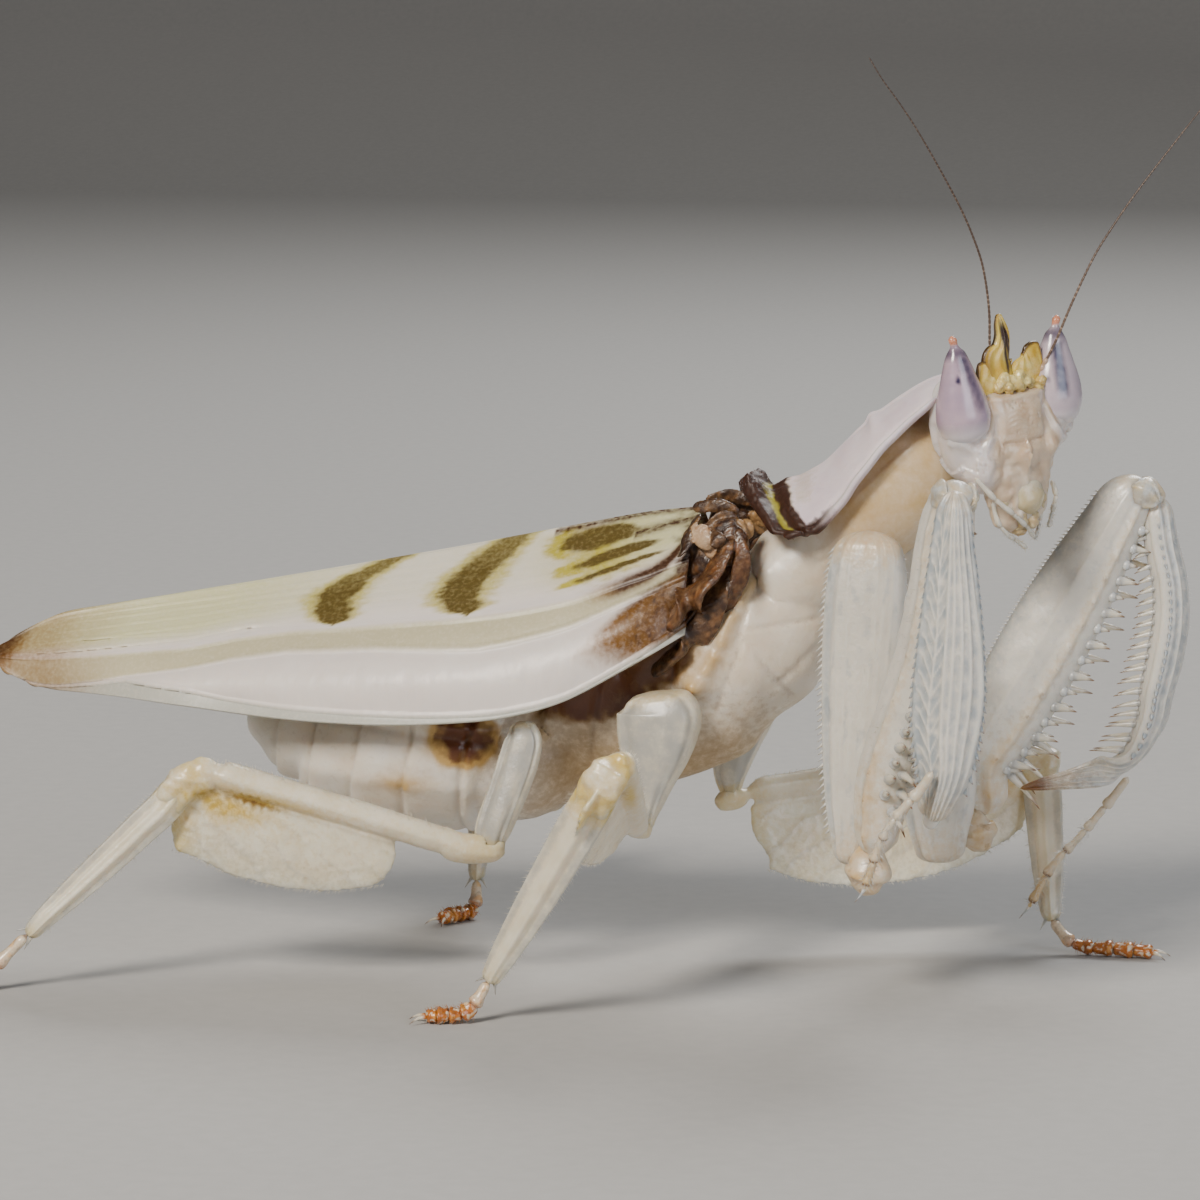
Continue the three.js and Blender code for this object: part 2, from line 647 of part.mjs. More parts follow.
// Two rows of spines along the belly of the femur, long and short by turns, and the larger
// discoidal spines near its base.
function femurSpines(leg, axis, belly, across) {
  const spines = [];
  const line = smoothLine([leg.femurBase, leg.femurMiddle, leg.knee]);
  for (let i = 0; i < femurRow.count; i++) {
    const share = THREE.MathUtils.lerp(femurRow.from, femurRow.to, i / (femurRow.count - 1));
    const depth = THREE.MathUtils.lerp(1.9, 1.3, share);
    const length = (i % 2 ? femurRow.short : femurRow.long) * leg.spineReach;
    const row = i % 4 === 2 ? -1 : 1;
    const foot = line.getPoint(share).addScaledVector(belly, depth)
      .addScaledVector(across, femurRow.aside * row);
    const way = belly.clone().addScaledVector(across, 0.45 * row).addScaledVector(axis, -0.25);
    spines.push(spine(foot, way.toArray(), length, femurRow.radius));
  }
  for (let i = 0; i < discoidalRow.count; i++) {
    const foot = line.getPoint(discoidalRow.from + discoidalRow.step * i).addScaledVector(belly, 1.5);
    const way = belly.clone().addScaledVector(axis, -0.5);
    spines.push(spine(foot, way.toArray(), discoidalRow.long * leg.spineReach, discoidalRow.radius));
  }
  return spines;
}

function foreTibia(leg) {
  const axis = bone(leg.tibiaTop, leg.tibiaEnd);
  const belly = vector(leg.tibiaBelly).projectOnPlane(axis).normalize();
  const across = belly.clone().cross(axis);
  const shaft = loft([
    [leg.tibiaTop, [1.2, 0.9]],
    [between(leg.tibiaTop, leg.tibiaMiddle, 0.4), [1.45, 0.95]],
    [leg.tibiaMiddle, [1.55, 1.05]],
    [between(leg.tibiaMiddle, leg.tibiaEnd, 0.6), [1.45, 1.1]],
    [leg.tibiaEnd, [0.9, 0.9]],
  ], across.toArray(), { sides: 8, steps: 10, blunt: 1.0 });
  const claw = loft([
    [between(leg.tibiaEnd, leg.tibiaMiddle, 0.12), [0.8, 0.8]],
    [between(leg.tibiaEnd, leg.clawTip, 0.3), [0.6, 0.65]],
    [between(leg.tibiaEnd, leg.clawTip, 0.65), [0.42, 0.42]],
    [leg.clawTip, [0.12, 0.12]],
  ], across.toArray(), { sides: 6, steps: 6, blunt: 0.25 });
  const line = smoothLine([leg.tibiaTop, leg.tibiaMiddle, leg.tibiaEnd]);
  const spines = [];
  for (let i = 0; i < tibiaRow.count; i++) {
    const share = THREE.MathUtils.lerp(tibiaRow.from, tibiaRow.to, i / (tibiaRow.count - 1));
    const length = THREE.MathUtils.lerp(tibiaRow.first, tibiaRow.last, share) * leg.spineReach;
    for (const row of [1, -1]) {
      const foot = line.getPoint(share).addScaledVector(across, tibiaRow.aside * row)
        .addScaledVector(belly, 0.5);
      const way = belly.clone().multiplyScalar(leg.spineReach)
        .addScaledVector(across, leg.spineSpread * row).addScaledVector(axis, 0.15);
      spines.push(spine(foot, way.toArray(), length, tibiaRow.radius));
    }
  }
  return join(shaft, claw, ...spines);
}

function foreTarsus(leg) {
  const sizes = [0.42, 0.34, 0.38, 0.34];
  return loft(leg.tarsus.map((point, i) => [point, [sizes[i], sizes[i]]]), [0, 1, 0],
    { sides: 6, steps: 10, blunt: 0.4 });
}

// -------------------------------------------------------------------------- walking legs

// Outline of the petal under a femur: (place along it from -1 to 1, lower edge, upper
// edge), the edges as shares of the lobe's depth below the bone.
const petalOutline = [
  [-1, 0.15, 0.05], [-0.7, 0.65, 0.05], [-0.25, 1, 0.05], [0.25, 1, 0.08], [0.7, 0.85, 0.25], [1, 0.68, 0.52],
];

function makeWalkingLeg(name, leg) {
  const lobe = leg.lobe;
  const coxa = loft([
    [leg.hip, [1.6, 1.2]],
    [between(leg.hip, leg.coxaEnd, 0.4), [1.8, 1.2]],
    [leg.coxaEnd, [1.2, 0.9]],
  ], [1, 0, 0], { sides: 8, steps: 7, blunt: 1.0 });
  const femurStart = between(leg.coxaEnd, leg.knee, 0.05);
  const core = (grow) => loft([
    [femurStart, [0.8, 0.7]],
    [between(leg.coxaEnd, leg.knee, 0.5), [0.95, 0.75]],
    [leg.knee, [0.95, 0.8]],
  ], lobe, { sides: 8, steps: 6, blunt: 0.8, grow });
  const petal = (grow) => loft(petalOutline.map(([share, low, high]) => {
    const place = leg.lobeCentre + share * leg.lobeReach;
    const drop = high * leg.lobeDepth + leg.lobeDroop * Math.max(share, 0) ** 2;
    const depth = (low - high) * leg.lobeDepth;
    return [between(leg.coxaEnd, leg.knee, place, lobe, drop), [depth, 0.3, 0.33, 0.33]];
  }), lobe, { sides: 6, steps: 9, blunt: 0.8, grow });
  const shinStart = between(leg.knee, leg.ankle, 0.12);
  const shin = loft([
    [shinStart, [0.8, 0.7]],
    [between(leg.knee, leg.ankle, 0.4), [1.35, 0.6]],
    [between(leg.knee, leg.ankle, 0.75), [0.85, 0.5]],
    [leg.ankle, [0.5, 0.45]],
  ], leg.broad, { sides: 8, steps: 8, blunt: 0.6 });
  add(`${name}_coxa`, cut(coxa, mesothorax(clearance), metathorax(clearance), core(clearance)), colours.leg);
  add(`${name}_femur`, join(core(0), petal(0)), colours.leg);
  add(`${name}_tibia`, cut(shin, core(clearance), petal(clearance)), colours.leg);
  add(`${name}_tarsus`, walkingTarsus(leg), colours.trochanter);
}

function walkingTarsus(leg) {
  const start = between(leg.ankle, leg.heel, 0.2);
  const tarsus = loft([
    [start, [0.36, 0.36]],
    [leg.heel, [0.45, 0.42]],
    [between(leg.heel, leg.toe, 0.5), [0.55, 0.5]],
    [leg.toe, [0.62, 0.55]],
  ], [0, 1, 0], { sides: 6, steps: 9, blunt: 0.45 });
  return cut(tarsus, ground());
}

makeHead();
makeMouth();
makeAntennae();
makeTrunk();
makeAbdomen();
makeWings();
makeForeleg('right', forelegs.right);
makeForeleg('left', forelegs.left);
for (const [name, leg] of Object.entries(walkingLegs)) {
  makeWalkingLeg(name, leg);
}

const footprint = new THREE.Box3().setFromObject(model).getCenter(new THREE.Vector3());
model.position.set(-footprint.x, -footprint.y, 0);

export default model;
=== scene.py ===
import math
import random

import bmesh
import bpy
import numpy as np
from mathutils import Matrix, Vector, noise
from mathutils.bvhtree import BVHTree


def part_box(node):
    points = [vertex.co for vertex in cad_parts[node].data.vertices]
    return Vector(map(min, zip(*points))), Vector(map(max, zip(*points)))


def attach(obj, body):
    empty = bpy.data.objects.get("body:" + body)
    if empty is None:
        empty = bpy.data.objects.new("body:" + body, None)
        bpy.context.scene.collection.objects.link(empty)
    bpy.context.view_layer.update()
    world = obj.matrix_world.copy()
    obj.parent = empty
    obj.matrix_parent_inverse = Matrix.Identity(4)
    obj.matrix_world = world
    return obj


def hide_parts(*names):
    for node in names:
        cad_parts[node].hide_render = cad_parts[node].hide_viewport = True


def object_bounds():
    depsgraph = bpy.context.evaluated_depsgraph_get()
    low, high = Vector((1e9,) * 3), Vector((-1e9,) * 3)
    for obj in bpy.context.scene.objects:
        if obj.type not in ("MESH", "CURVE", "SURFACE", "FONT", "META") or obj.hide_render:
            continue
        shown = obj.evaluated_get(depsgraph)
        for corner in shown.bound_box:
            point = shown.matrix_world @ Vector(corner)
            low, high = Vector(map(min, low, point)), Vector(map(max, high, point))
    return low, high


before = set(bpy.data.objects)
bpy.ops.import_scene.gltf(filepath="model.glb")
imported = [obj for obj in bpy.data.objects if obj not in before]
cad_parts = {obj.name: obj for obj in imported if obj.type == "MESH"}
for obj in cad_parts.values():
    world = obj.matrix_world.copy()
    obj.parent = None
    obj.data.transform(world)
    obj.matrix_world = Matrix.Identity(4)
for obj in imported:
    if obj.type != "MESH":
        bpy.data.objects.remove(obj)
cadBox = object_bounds()
random.seed(7)
mm = 0.001  # every size below is in millimetres until a piece is finished


# sections and middles of the frame's solids, in millimetres

def unit(way):
    way = np.asarray(way, float)
    return way / np.linalg.norm(way)


def meshPoints(mesh):
    flat = np.empty(len(mesh.vertices) * 3)
    mesh.vertices.foreach_get("co", flat)
    return flat.reshape(-1, 3)


def nodeCorners(node):
    return meshPoints(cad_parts[node].data) / mm


def nodeEnds(node):
    # a node's highest and lowest corner
    corners = nodeCorners(node)
    return corners[corners[:, 2].argmax()], corners[corners[:, 2].argmin()]


def nodeMiddle(node):
    low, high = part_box(node)
    return np.array((low + high) / 2) / mm


def nodeCuts(nodes, along, levels):
    # points where planes across `along` cut the nodes' edges, one array for each level
    cuts = [[] for _ in levels]
    for node in nodes:
        points = nodeCorners(node)
        pairs = np.array([edge.vertices[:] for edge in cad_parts[node].data.edges])
        height = points @ along
        first, second = pairs[:, 0], pairs[:, 1]
        for level, found in zip(levels, cuts):
            start, end = height[first] - level, height[second] - level
            crossing = start * end < 0
            part = (start[crossing] / (start[crossing] - end[crossing]))[:, None]
            found.append(points[first[crossing]] * (1 - part) + points[second[crossing]] * part)
    return [np.vstack(found) for found in cuts]


def stations(nodes, along, wide, count=9, trim=0.03):
    # centres and half sizes (wide, over) of the nodes' sections, evenly spaced
    nodes = [nodes] if isinstance(nodes, str) else nodes
    along = unit(along)
    wide = unit(np.asarray(wide) - along * np.dot(wide, along))
    over = np.cross(along, wide)
    reach = np.concatenate([nodeCorners(node) @ along for node in nodes])
    levels = np.linspace(reach.min(), reach.max(), count)
    levels[0] += trim * np.ptp(reach)
    levels[-1] -= trim * np.ptp(reach)
    line, halves = [], []
    for level, cut in zip(levels, nodeCuts(nodes, along, levels)):
        across, deep = cut @ wide, cut @ over
        middle = [(across.min() + across.max()) / 2, (deep.min() + deep.max()) / 2]
        line.append(along * level + wide * middle[0] + over * middle[1])
        halves.append([np.ptp(across) / 2, np.ptp(deep) / 2])
    line[0] -= along * trim * np.ptp(reach)
    line[-1] += along * trim * np.ptp(reach)
    return np.array(line), np.array(halves)


# smooth rows, lofts along a line, spines and teeth

def smoothRow(rows, shares):
    # smooth values between evenly spaced rows
    rows = np.asarray(rows, float)
    rows = np.vstack([2 * rows[0] - rows[1], rows, 2 * rows[-1] - rows[-2]])
    place = np.clip(shares, 0, 1) * (len(rows) - 3)
    step = np.minimum(place.astype(int), len(rows) - 4)
    part = (place - step)[:, None]
    a, b, c, d = (rows[step + i] for i in range(4))
    return 0.5 * (2 * b + (c - a) * part + (2 * a - 5 * b + 4 * c - d) * part ** 2
                  + (3 * b - a - 3 * c + d) * part ** 3)


def spread(values, count):
    # so many values, evenly spaced along a smooth row of them
    return smoothRow(np.array(values, float)[:, None], np.linspace(0, 1, count))[:, 0]


def ramp(value, low, high):
    # 0 below `low` and 1 above `high`, with a soft step between
    part = np.clip((value - low) / (high - low), 0, 1)
    return part * part * (3 - 2 * part)


def bump(value, middle, width):
    return np.exp(-((value - middle) / width) ** 2)


def grain(points, size, offset=0.0):
    # soft noise between about -0.6 and 0.6, in lumps of the given size
    return np.array([noise.noise(Vector(p) / size + Vector((offset, 0, 0))) for p in points])


def newBody(mesh=None):
    # an empty body, or one made from a mesh, with the three masks that the cuticle is painted by
    body = bmesh.new()
    for mask in ("warm", "dark", "clear"):
        body.verts.layers.float.new(mask)
    if mesh:
        body.from_mesh(mesh)
    return body


def gridBody(columns, rows):
    # a flat sheet, and where each of its corners lies across it, from -1 to 1
    body = newBody()
    bmesh.ops.create_grid(body, x_segments=columns, y_segments=rows, size=1)
    return body, np.array([vert.co for vert in body.verts])


def outward(body):
    body.normal_update()
    return np.array([vert.normal for vert in body.verts])


def setPlaces(verts, points):
    for vert, point in zip(verts, points):
        vert.co = point


def paintVerts(body, verts, masks):
    for mask, values in masks.items():
        layer = body.verts.layers.float[mask]
        for vert, value in zip(verts, np.broadcast_to(values, len(verts))):
            vert[layer] = value


def thicken(body, thickness):
    bmesh.ops.solidify(body, geom=body.faces[:], thickness=thickness)
    bmesh.ops.recalc_face_normals(body, faces=body.faces)


def toMesh(name, body):
    mesh = bpy.data.meshes.new(name)
    body.to_mesh(mesh)
    body.free()
    return mesh


def loft(body, line, halves, wide, columns=32, rows=60, blunt=(0.8, 0.8), shape=None, paint=None, square=1.0):
    # A closed skin along a smooth line, with so many columns round it and rows along it. Its half sizes
    # are (wide, over) or (to each side, over, under), `blunt` says how far each end takes to close, and
    # `shape` and `paint` work out its relief and its masks from the share along it and the angle round it.
    made = bmesh.ops.create_uvsphere(body, u_segments=columns, v_segments=rows, radius=1)["verts"]
    ball = np.array([vert.co for vert in made])
    share = np.arccos(np.clip(-ball[:, 2], -1, 1)) / math.pi
    angle = np.arctan2(ball[:, 1], ball[:, 0])
    halves = np.asarray(halves, float)
    if halves.shape[1] == 2:
        halves = halves[:, [0, 0, 1, 1]]
    line = np.asarray(line, float)
    length = np.linalg.norm(np.diff(smoothRow(line, np.linspace(0, 1, 60)), axis=0), axis=1).sum()
    centre = smoothRow(line, share)
    tangent = smoothRow(line, share + 0.01) - smoothRow(line, share - 0.01)
    tangent /= np.linalg.norm(tangent, axis=1)[:, None]
    wide = np.asarray(wide, float)
    wide = wide - tangent * (wide * tangent).sum(1)[:, None]
    wide /= np.linalg.norm(wide, axis=1)[:, None]
    over = np.cross(tangent, wide)
    size = smoothRow(halves, share)
    cosine, sine = (np.sign(w) * np.abs(w) ** square for w in (np.cos(angle), np.sin(angle)))
    across = np.where(cosine > 0, size[:, 0], size[:, 1])
    deep = np.where(sine > 0, size[:, 2], size[:, 3])
    closing = np.ones(len(made))
    for toEnd, rounded in ((share * length, blunt[0]), ((1 - share) * length, blunt[1])):
        left = np.clip(1 - toEnd / rounded, 0, 1)
        closing *= np.sqrt(np.clip(1 - left ** 2, 0, 1))
    x, y = cosine * across * closing, sine * deep * closing
    if shape:
        grow = shape(share, angle) * np.clip(closing * 1.5, 0, 1)
        slope = np.hypot(cosine / np.maximum(across, 0.05), sine / np.maximum(deep, 0.05))
        x = x + grow * cosine / np.maximum(across, 0.05) / slope
        y = y + grow * sine / np.maximum(deep, 0.05) / slope
    points = centre + wide * x[:, None] + over * y[:, None]
    setPlaces(made, points)
    if paint:
        paintVerts(body, made, paint(share, angle, points))


bits = {"body": None, "count": 0}


def smallShape(body):
    # operators slow down on a large mesh, so small shapes are gathered apart and added by the dozen
    if bits["count"] >= 40:
        addBits(body)
    bits["body"] = bits["body"] or newBody()
    bits["count"] += 1
    return bits["body"]


def addBits(body):
    if bits["body"]:
        mesh = toMesh("bits", bits["body"])
        body.from_mesh(mesh)
        bpy.data.meshes.remove(mesh)
    bits.update(body=None, count=0)


def spine(body, foot, way, length, radius, bend=(0, 0, 0), dark=0.5, columns=7, rows=9):
    # a curved tapering spine whose end darkens
    way, bend = unit(way), np.asarray(bend, float)
    steps = np.linspace(-0.12, 1, 5)[:, None]
    line = np.asarray(foot) + way * steps * length + bend * np.maximum(steps, 0) ** 2 * length
    taper = np.array([1.15, 1, 0.66, 0.36, 0.1])[:, None] * radius
    side = np.cross(way, [0.3, 0.2, 0.9])
    loft(smallShape(body), line, np.hstack([taper, taper]), side, columns, rows, (radius, radius * 0.3),
         paint=lambda share, angle, points: {"dark": dark * ramp(share, 0.55, 0.95),
                                             "clear": ramp(share, 0.1, 0.4)})


def tooth(body, foot, way, length, radius, dark=0.0):
    # one tooth of a serrated edge
    turn = Vector(way).to_track_quat("Z", "Y").to_matrix().to_4x4()
    place = Matrix.Translation(Vector(foot) + Vector(way).normalized() * length * 0.3) @ turn
    body = smallShape(body)
    made = bmesh.ops.create_cone(body, segments=5, radius1=radius, radius2=radius * 0.12,
                                 depth=length * 1.4, cap_ends=True, matrix=place)["verts"]
    layer = body.verts.layers.float["dark"]
    for vert in made:
        vert[layer] = dark if (vert.co - Vector(foot)).dot(Vector(way).normalized()) > length * 0.5 else 0


def finishPiece(name, body, material, replaced=()):
    addBits(body)
    placePiece(name, toMesh(name, body), material, replaced)


def placePiece(name, mesh, material, replaced=()):
    mesh.transform(Matrix.Scale(mm, 4))
    mesh.polygons.foreach_set("use_smooth", [True] * len(mesh.polygons))
    mesh.materials.clear()
    mesh.materials.append(material)
    piece = bpy.data.objects.new(name, mesh)
    bpy.context.scene.collection.objects.link(piece)
    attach(piece, "root")
    if replaced:
        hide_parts(*replaced)


def paintMasks(mesh, masks):
    for mask, values in masks.items():
        layer = mesh.attributes.get(mask) or mesh.attributes.new(mask, "FLOAT", "POINT")
        layer.data.foreach_set("value", np.clip(values, 0, 1).astype(np.float32))


# colours and the cuticle that most pieces share

def linear(colour):
    channels = [int(colour[i:i + 2], 16) / 255 for i in (1, 3, 5)]
    return [c / 12.92 if c <= 0.04045 else ((c + 0.055) / 1.055) ** 2.4 for c in channels] + [1.0]


def setInputs(node, settings):
    for key, value in settings.items():
        node.inputs[key].default_value = value


def addNode(tree, kind, settings=None, links=None, **choices):
    made = tree.nodes.new("ShaderNode" + kind)
    for key, value in choices.items():
        setattr(made, key, value)
    setInputs(made, settings or {})
    for key, source in (links or {}).items():
        tree.links.new(source, made.inputs[key])
    return made


def newMaterial(name):
    material = bpy.data.materials.new(name)
    material.use_nodes = True
    return material, material.node_tree, material.node_tree.nodes["Principled BSDF"]


def cuticle(name, look):
    # Insect cuticle: layers of chitin laid down as a thin, slightly waxy shell. Light goes a
    # little way in, so it looks milky, with a soft satin gloss on top.
    material, tree, surface = newMaterial(name)
    place = addNode(tree, "TexCoord").outputs["Object"]
    cloud = addNode(tree, "TexNoise", {"Scale": 1 / (look["mottle"] * mm), "Detail": 3.0}, {"Vector": place})
    speck = addNode(tree, "TexNoise", {"Scale": 1 / (look["speck"] * mm), "Detail": 5.0, "Roughness": 0.65},
                    {"Vector": place})
    cloudy = addNode(tree, "MapRange", {"From Min": 0.3, "From Max": 0.7}, {"Value": cloud.outputs[0]})
    colour = addNode(tree, "Mix", {6: linear(look["pale"]), 7: linear(look["shade"])},
                     {0: cloudy.outputs[0]}, data_type="RGBA").outputs[2]
    for mask in ("clear", "warm", "dark"):
        paint = addNode(tree, "Attribute", attribute_name=mask)
        edge = addNode(tree, "MapRange", {"From Min": 0.3, "From Max": 0.7, "To Min": -look["ragged"],
                                          "To Max": look["ragged"]}, {"Value": speck.outputs[0]})
        rough = addNode(tree, "Math", {}, {0: paint.outputs["Fac"], 1: edge.outputs[0]}, operation="ADD")
        gate = addNode(tree, "MapRange", {"From Min": 0.15, "From Max": 0.85}, {"Value": rough.outputs[0]})
        kept = addNode(tree, "Math", {}, {0: gate.outputs[0], 1: paint.outputs["Fac"]}, operation="MULTIPLY")
        root = addNode(tree, "Math", {1: 0.5}, {0: kept.outputs[0]}, operation="POWER")
        colour = addNode(tree, "Mix", {7: linear(look[mask])}, {0: root.outputs[0], 6: colour},
                         data_type="RGBA").outputs[2]
    wrinkle = addNode(tree, "TexNoise", {"Scale": 1 / (look["wrinkle"] * mm), "Detail": 6.0, "Roughness": 0.6},
                      {"Vector": place})
    relief = addNode(tree, "Bump", {"Strength": look["relief"], "Distance": look["wrinkle"] * mm * 0.4},
                     {"Height": wrinkle.outputs[0]})
    gloss = addNode(tree, "MapRange", {"To Min": look["rough"] - 0.08, "To Max": look["rough"] + 0.1},
                    {"Value": speck.outputs[0]})
    tree.links.new(colour, surface.inputs["Base Color"])
    tree.links.new(relief.outputs[0], surface.inputs["Normal"])
    tree.links.new(gloss.outputs[0], surface.inputs["Roughness"])
    setInputs(surface, {"Subsurface Weight": look["milky"], "Subsurface Radius": (1.0, 0.75, 0.55),
                        "Subsurface Scale": look["depth"] * mm, "IOR": 1.5, "Coat Weight": look["wax"],
                        "Coat Roughness": 0.22})
    return material


# camera, in degrees and millimetres, where `aside`, `away` and `height` say what it looks at

view = {"azimuth": 12, "elevation": 8, "distance": 300, "lens": 155.2, "aside": -0.25, "away": 0.94, "height": 21.5}


def makeCamera():
    turn, rise = math.radians(view["azimuth"]), math.radians(view["elevation"])
    back = Vector((math.sin(turn) * math.cos(rise), -math.cos(turn) * math.cos(rise), math.sin(rise)))
    low, high = Vector(cadBox[0]), Vector(cadBox[1])
    aim = Vector(((low.x + high.x) / 2 + view["aside"] * mm, (low.y + high.y) / 2 + view["away"] * mm,
                  low.z + view["height"] * mm))
    camera = bpy.data.objects.new("camera", bpy.data.cameras.new("camera"))
    camera.data.lens = view["lens"]
    camera.data.sensor_width = 36
    camera.data.clip_start = 0.01
    camera.location = aim + back * view["distance"] * mm
    camera.rotation_euler = back.to_track_quat("Z", "Y").to_euler()
    bpy.context.scene.collection.objects.link(camera)
    bpy.context.scene.camera = camera


# lamps, with places and sizes in metres and power in watts, and the paper that sweeps up behind
studio = {
    "key": {"at": (-0.15, -0.46, 0.38), "size": 0.16, "power": 4.2, "colour": "#FFF6EA"},
    "fill": {"at": (0.45, -0.30, 0.18), "size": 0.30, "power": 1.2, "colour": "#EAF1FF"},
    "rim": {"at": (0.10, 0.40, 0.40), "size": 0.22, "power": 2.0, "colour": "#FFFFFF"},
    "sky": "#B9BDC4",
    "skyStrength": 0.16,
    "floor": "#A9A8A6", "fibre": "#B4B3B0",
    "floorFront": -1.2,  # metres; then how the floor runs back and sweeps up behind
    "sweep": [(0, 1.9, 0), (0, 0.12, 0.03), (0, 0.08, 0.09), (0, 0.03, 0.15), (0, 0, 1.6)],
}


def makeStudio():
    for name in ("key", "fill", "rim"):
        setup = studio[name]
        lamp = bpy.data.lights.new(name, "AREA")
        lamp.size = setup["size"]
        lamp.energy = setup["power"]
        lamp.color = linear(setup["colour"])[:3]
        light = bpy.data.objects.new(name, lamp)
        light.location = setup["at"]
        toModel = Vector((0, 0, 0.02)) - light.location
        light.rotation_euler = toModel.to_track_quat("-Z", "Y").to_euler()
        bpy.context.scene.collection.objects.link(light)
    world = bpy.data.worlds.new("soft studio")
    world.use_nodes = True
    setInputs(world.node_tree.nodes["Background"], {"Color": linear(studio["sky"]), "Strength": studio["skyStrength"]})
    bpy.context.scene.world = world
    body = bmesh.new()
    edge = [body.verts.new((end, studio["floorFront"], 0)) for end in (-2, 2)]
    side = body.edges.new(edge)
    for step in studio["sweep"]:
        made = bmesh.ops.extrude_edge_only(body, edges=[side])["geom"]
        moved = [part for part in made if isinstance(part, bmesh.types.BMVert)]
        bmesh.ops.translate(body, verts=moved, vec=step)
        side = [part for part in made if isinstance(part, bmesh.types.BMEdge)][0]
    bmesh.ops.recalc_face_normals(body, faces=body.faces)
    mesh = toMesh("studio_floor", body)
    mesh.polygons.foreach_set("use_smooth", [True] * len(mesh.polygons))
    paper, tree, surface = newMaterial("matt backdrop paper")  # uncoated paper: no gloss, a faint tooth
    place = addNode(tree, "TexCoord").outputs["Object"]
    fibre = addNode(tree, "TexNoise", {"Scale": 900.0, "Detail": 4.0}, {"Vector": place})
    tint = addNode(tree, "Mix", {6: linear(studio["floor"]), 7: linear(studio["fibre"])}, {0: fibre.outputs[0]},
                   data_type="RGBA")
    tree.links.new(tint.outputs[2], surface.inputs["Base Color"])
    setInputs(surface, {"Roughness": 0.9})
    mesh.materials.append(paper)
    floor = bpy.data.objects.new("studio_floor", mesh)
    bpy.context.scene.collection.objects.link(floor)


makeCamera()
makeStudio()
print("camera, floor and lights ready")


# forewings, and the folded hindwings under them

forewing = {
    "columns": 300, "rows": 96,
    "thickness": 0.16,
    "tipRound": 0.035,  # share of the length over which the tip closes
    "bulge": 0.5,  # how far the field below the ridge swells outwards
    "ridge": 0.22,  # height of the strongest vein
    # dark lobes behind the hinge: places along and down the wing, half length and half height
    "lobes": [(0.135, 0.095, 0.055, 0.065), (0.105, 0.215, 0.060, 0.034), (0.095, 0.295, 0.062, 0.018)],
    "bands": [  # centre and half width along the wing, by share of the height down to `low`
        {"centre": [0.43, 0.475, 0.498, 0.497, 0.49], "half": 0.028, "low": 0.355},
        {"centre": [0.258, 0.285, 0.308, 0.314, 0.298], "half": 0.031, "low": 0.375},
    ],
}
hindwing = {"columns": 120, "rows": 36, "thickness": 0.12, "tipRound": 0.05, "pleat": 0.06}
wingLook = {
    "pale": "#F0E6DC", "shade": "#E3D6CF", "green": "#D2CFA2", "ridge": "#C3BB99", "band": "#5A4A1C",
    "bandEdge": "#B5A83C", "base": "#43260F", "tip": "#80560F", "clear": "#B9B9AE",
}


def wingSheet(node):
    # the wing's middle surface, fitted through its solid: from the hinge to the tip and down
    corners = nodeCorners(node)
    front, back = corners[:, 0].max(), corners[:, 0].min()
    levels = np.linspace(front - 0.05, back + 0.05, 40)
    cuts = nodeCuts([node], np.array([1.0, 0, 0]), levels)
    shares = (front - levels) / (front - back)
    tops = np.array([[cut[:, 2].max(), cut[:, 2].min()] for cut in cuts])
    points = np.vstack(cuts)
    u = np.repeat(shares, [len(cut) for cut in cuts])
    high = np.interp(u, shares, tops[:, 0])
    low = np.interp(u, shares, tops[:, 1])
    v = (high - points[:, 2]) / (high - low)

    def powers(along, down):
        return np.stack([along ** i * down ** j for i in range(6) for j in range(5)], 1)

    fit, *_ = np.linalg.lstsq(powers(u, v), points[:, 1], rcond=None)
    kept = np.linspace(0, 1, 14)
    edges = np.stack([np.interp(kept, shares, tops[:, k]) for k in (0, 1)], 1)

    def sheet(along, down):
        rim = smoothRow(edges, along)
        height = rim[:, 0] + (rim[:, 1] - rim[:, 0]) * down
        return np.stack([front - (front - back) * along, powers(along, down) @ fit, height], 1)

    return sheet


def ridgeLines(u):
    # upper and lower edge of the ridge and the upper edge of the clear rim, as shares of the height
    places = np.array([0, 0.05, 0.15, 0.28, 0.42, 0.55, 0.63, 0.7, 0.78, 0.88, 1.0])
    top = np.interp(u, places, [0.37, 0.40, 0.41, 0.40, 0.38, 0.385, 0.42, 0.50, 0.54, 0.58, 0.62])
    low = np.interp(u, places, [0.50, 0.53, 0.56, 0.575, 0.52, 0.52, 0.58, 0.68, 0.77, 0.90, 1.02])
    rim = np.interp(u, places, [0.90, 0.95, 0.965, 0.955, 0.93, 0.915, 0.89, 0.85, 0.82, 0.94, 1.05])
    return top, low, rim


def wingVeins(u, v):
    # raised lines: the ridge's two edges, long veins above it that fan out, and the rim
    top, low, rim = ridgeLines(u)
    calm = 1 - 0.75 * ramp(u, 0.5, 0.85)
    rise = (0.8 * bump(v, top, 0.018) + 0.6 * bump(v, low, 0.016)) * calm + 0.5 * bump(v, rim, 0.014)
    for part in (0.16, 0.33, 0.5, 0.66, 0.82):
        line = top * (part + 0.06 * np.sin(3.1 * u + 5 * part))
        rise += 0.35 * bump(v, line, 0.007) * ramp(u, 0.02, 0.10) * (1 - ramp(u, 0.62 + 0.3 * part, 0.98))
    fork = top * (0.86 - 0.75 * (u - 0.55))
    rise += 0.3 * bump(v, fork, 0.006) * ramp(u, 0.52, 0.6) * (1 - ramp(u, 0.85, 0.95))
    return rise


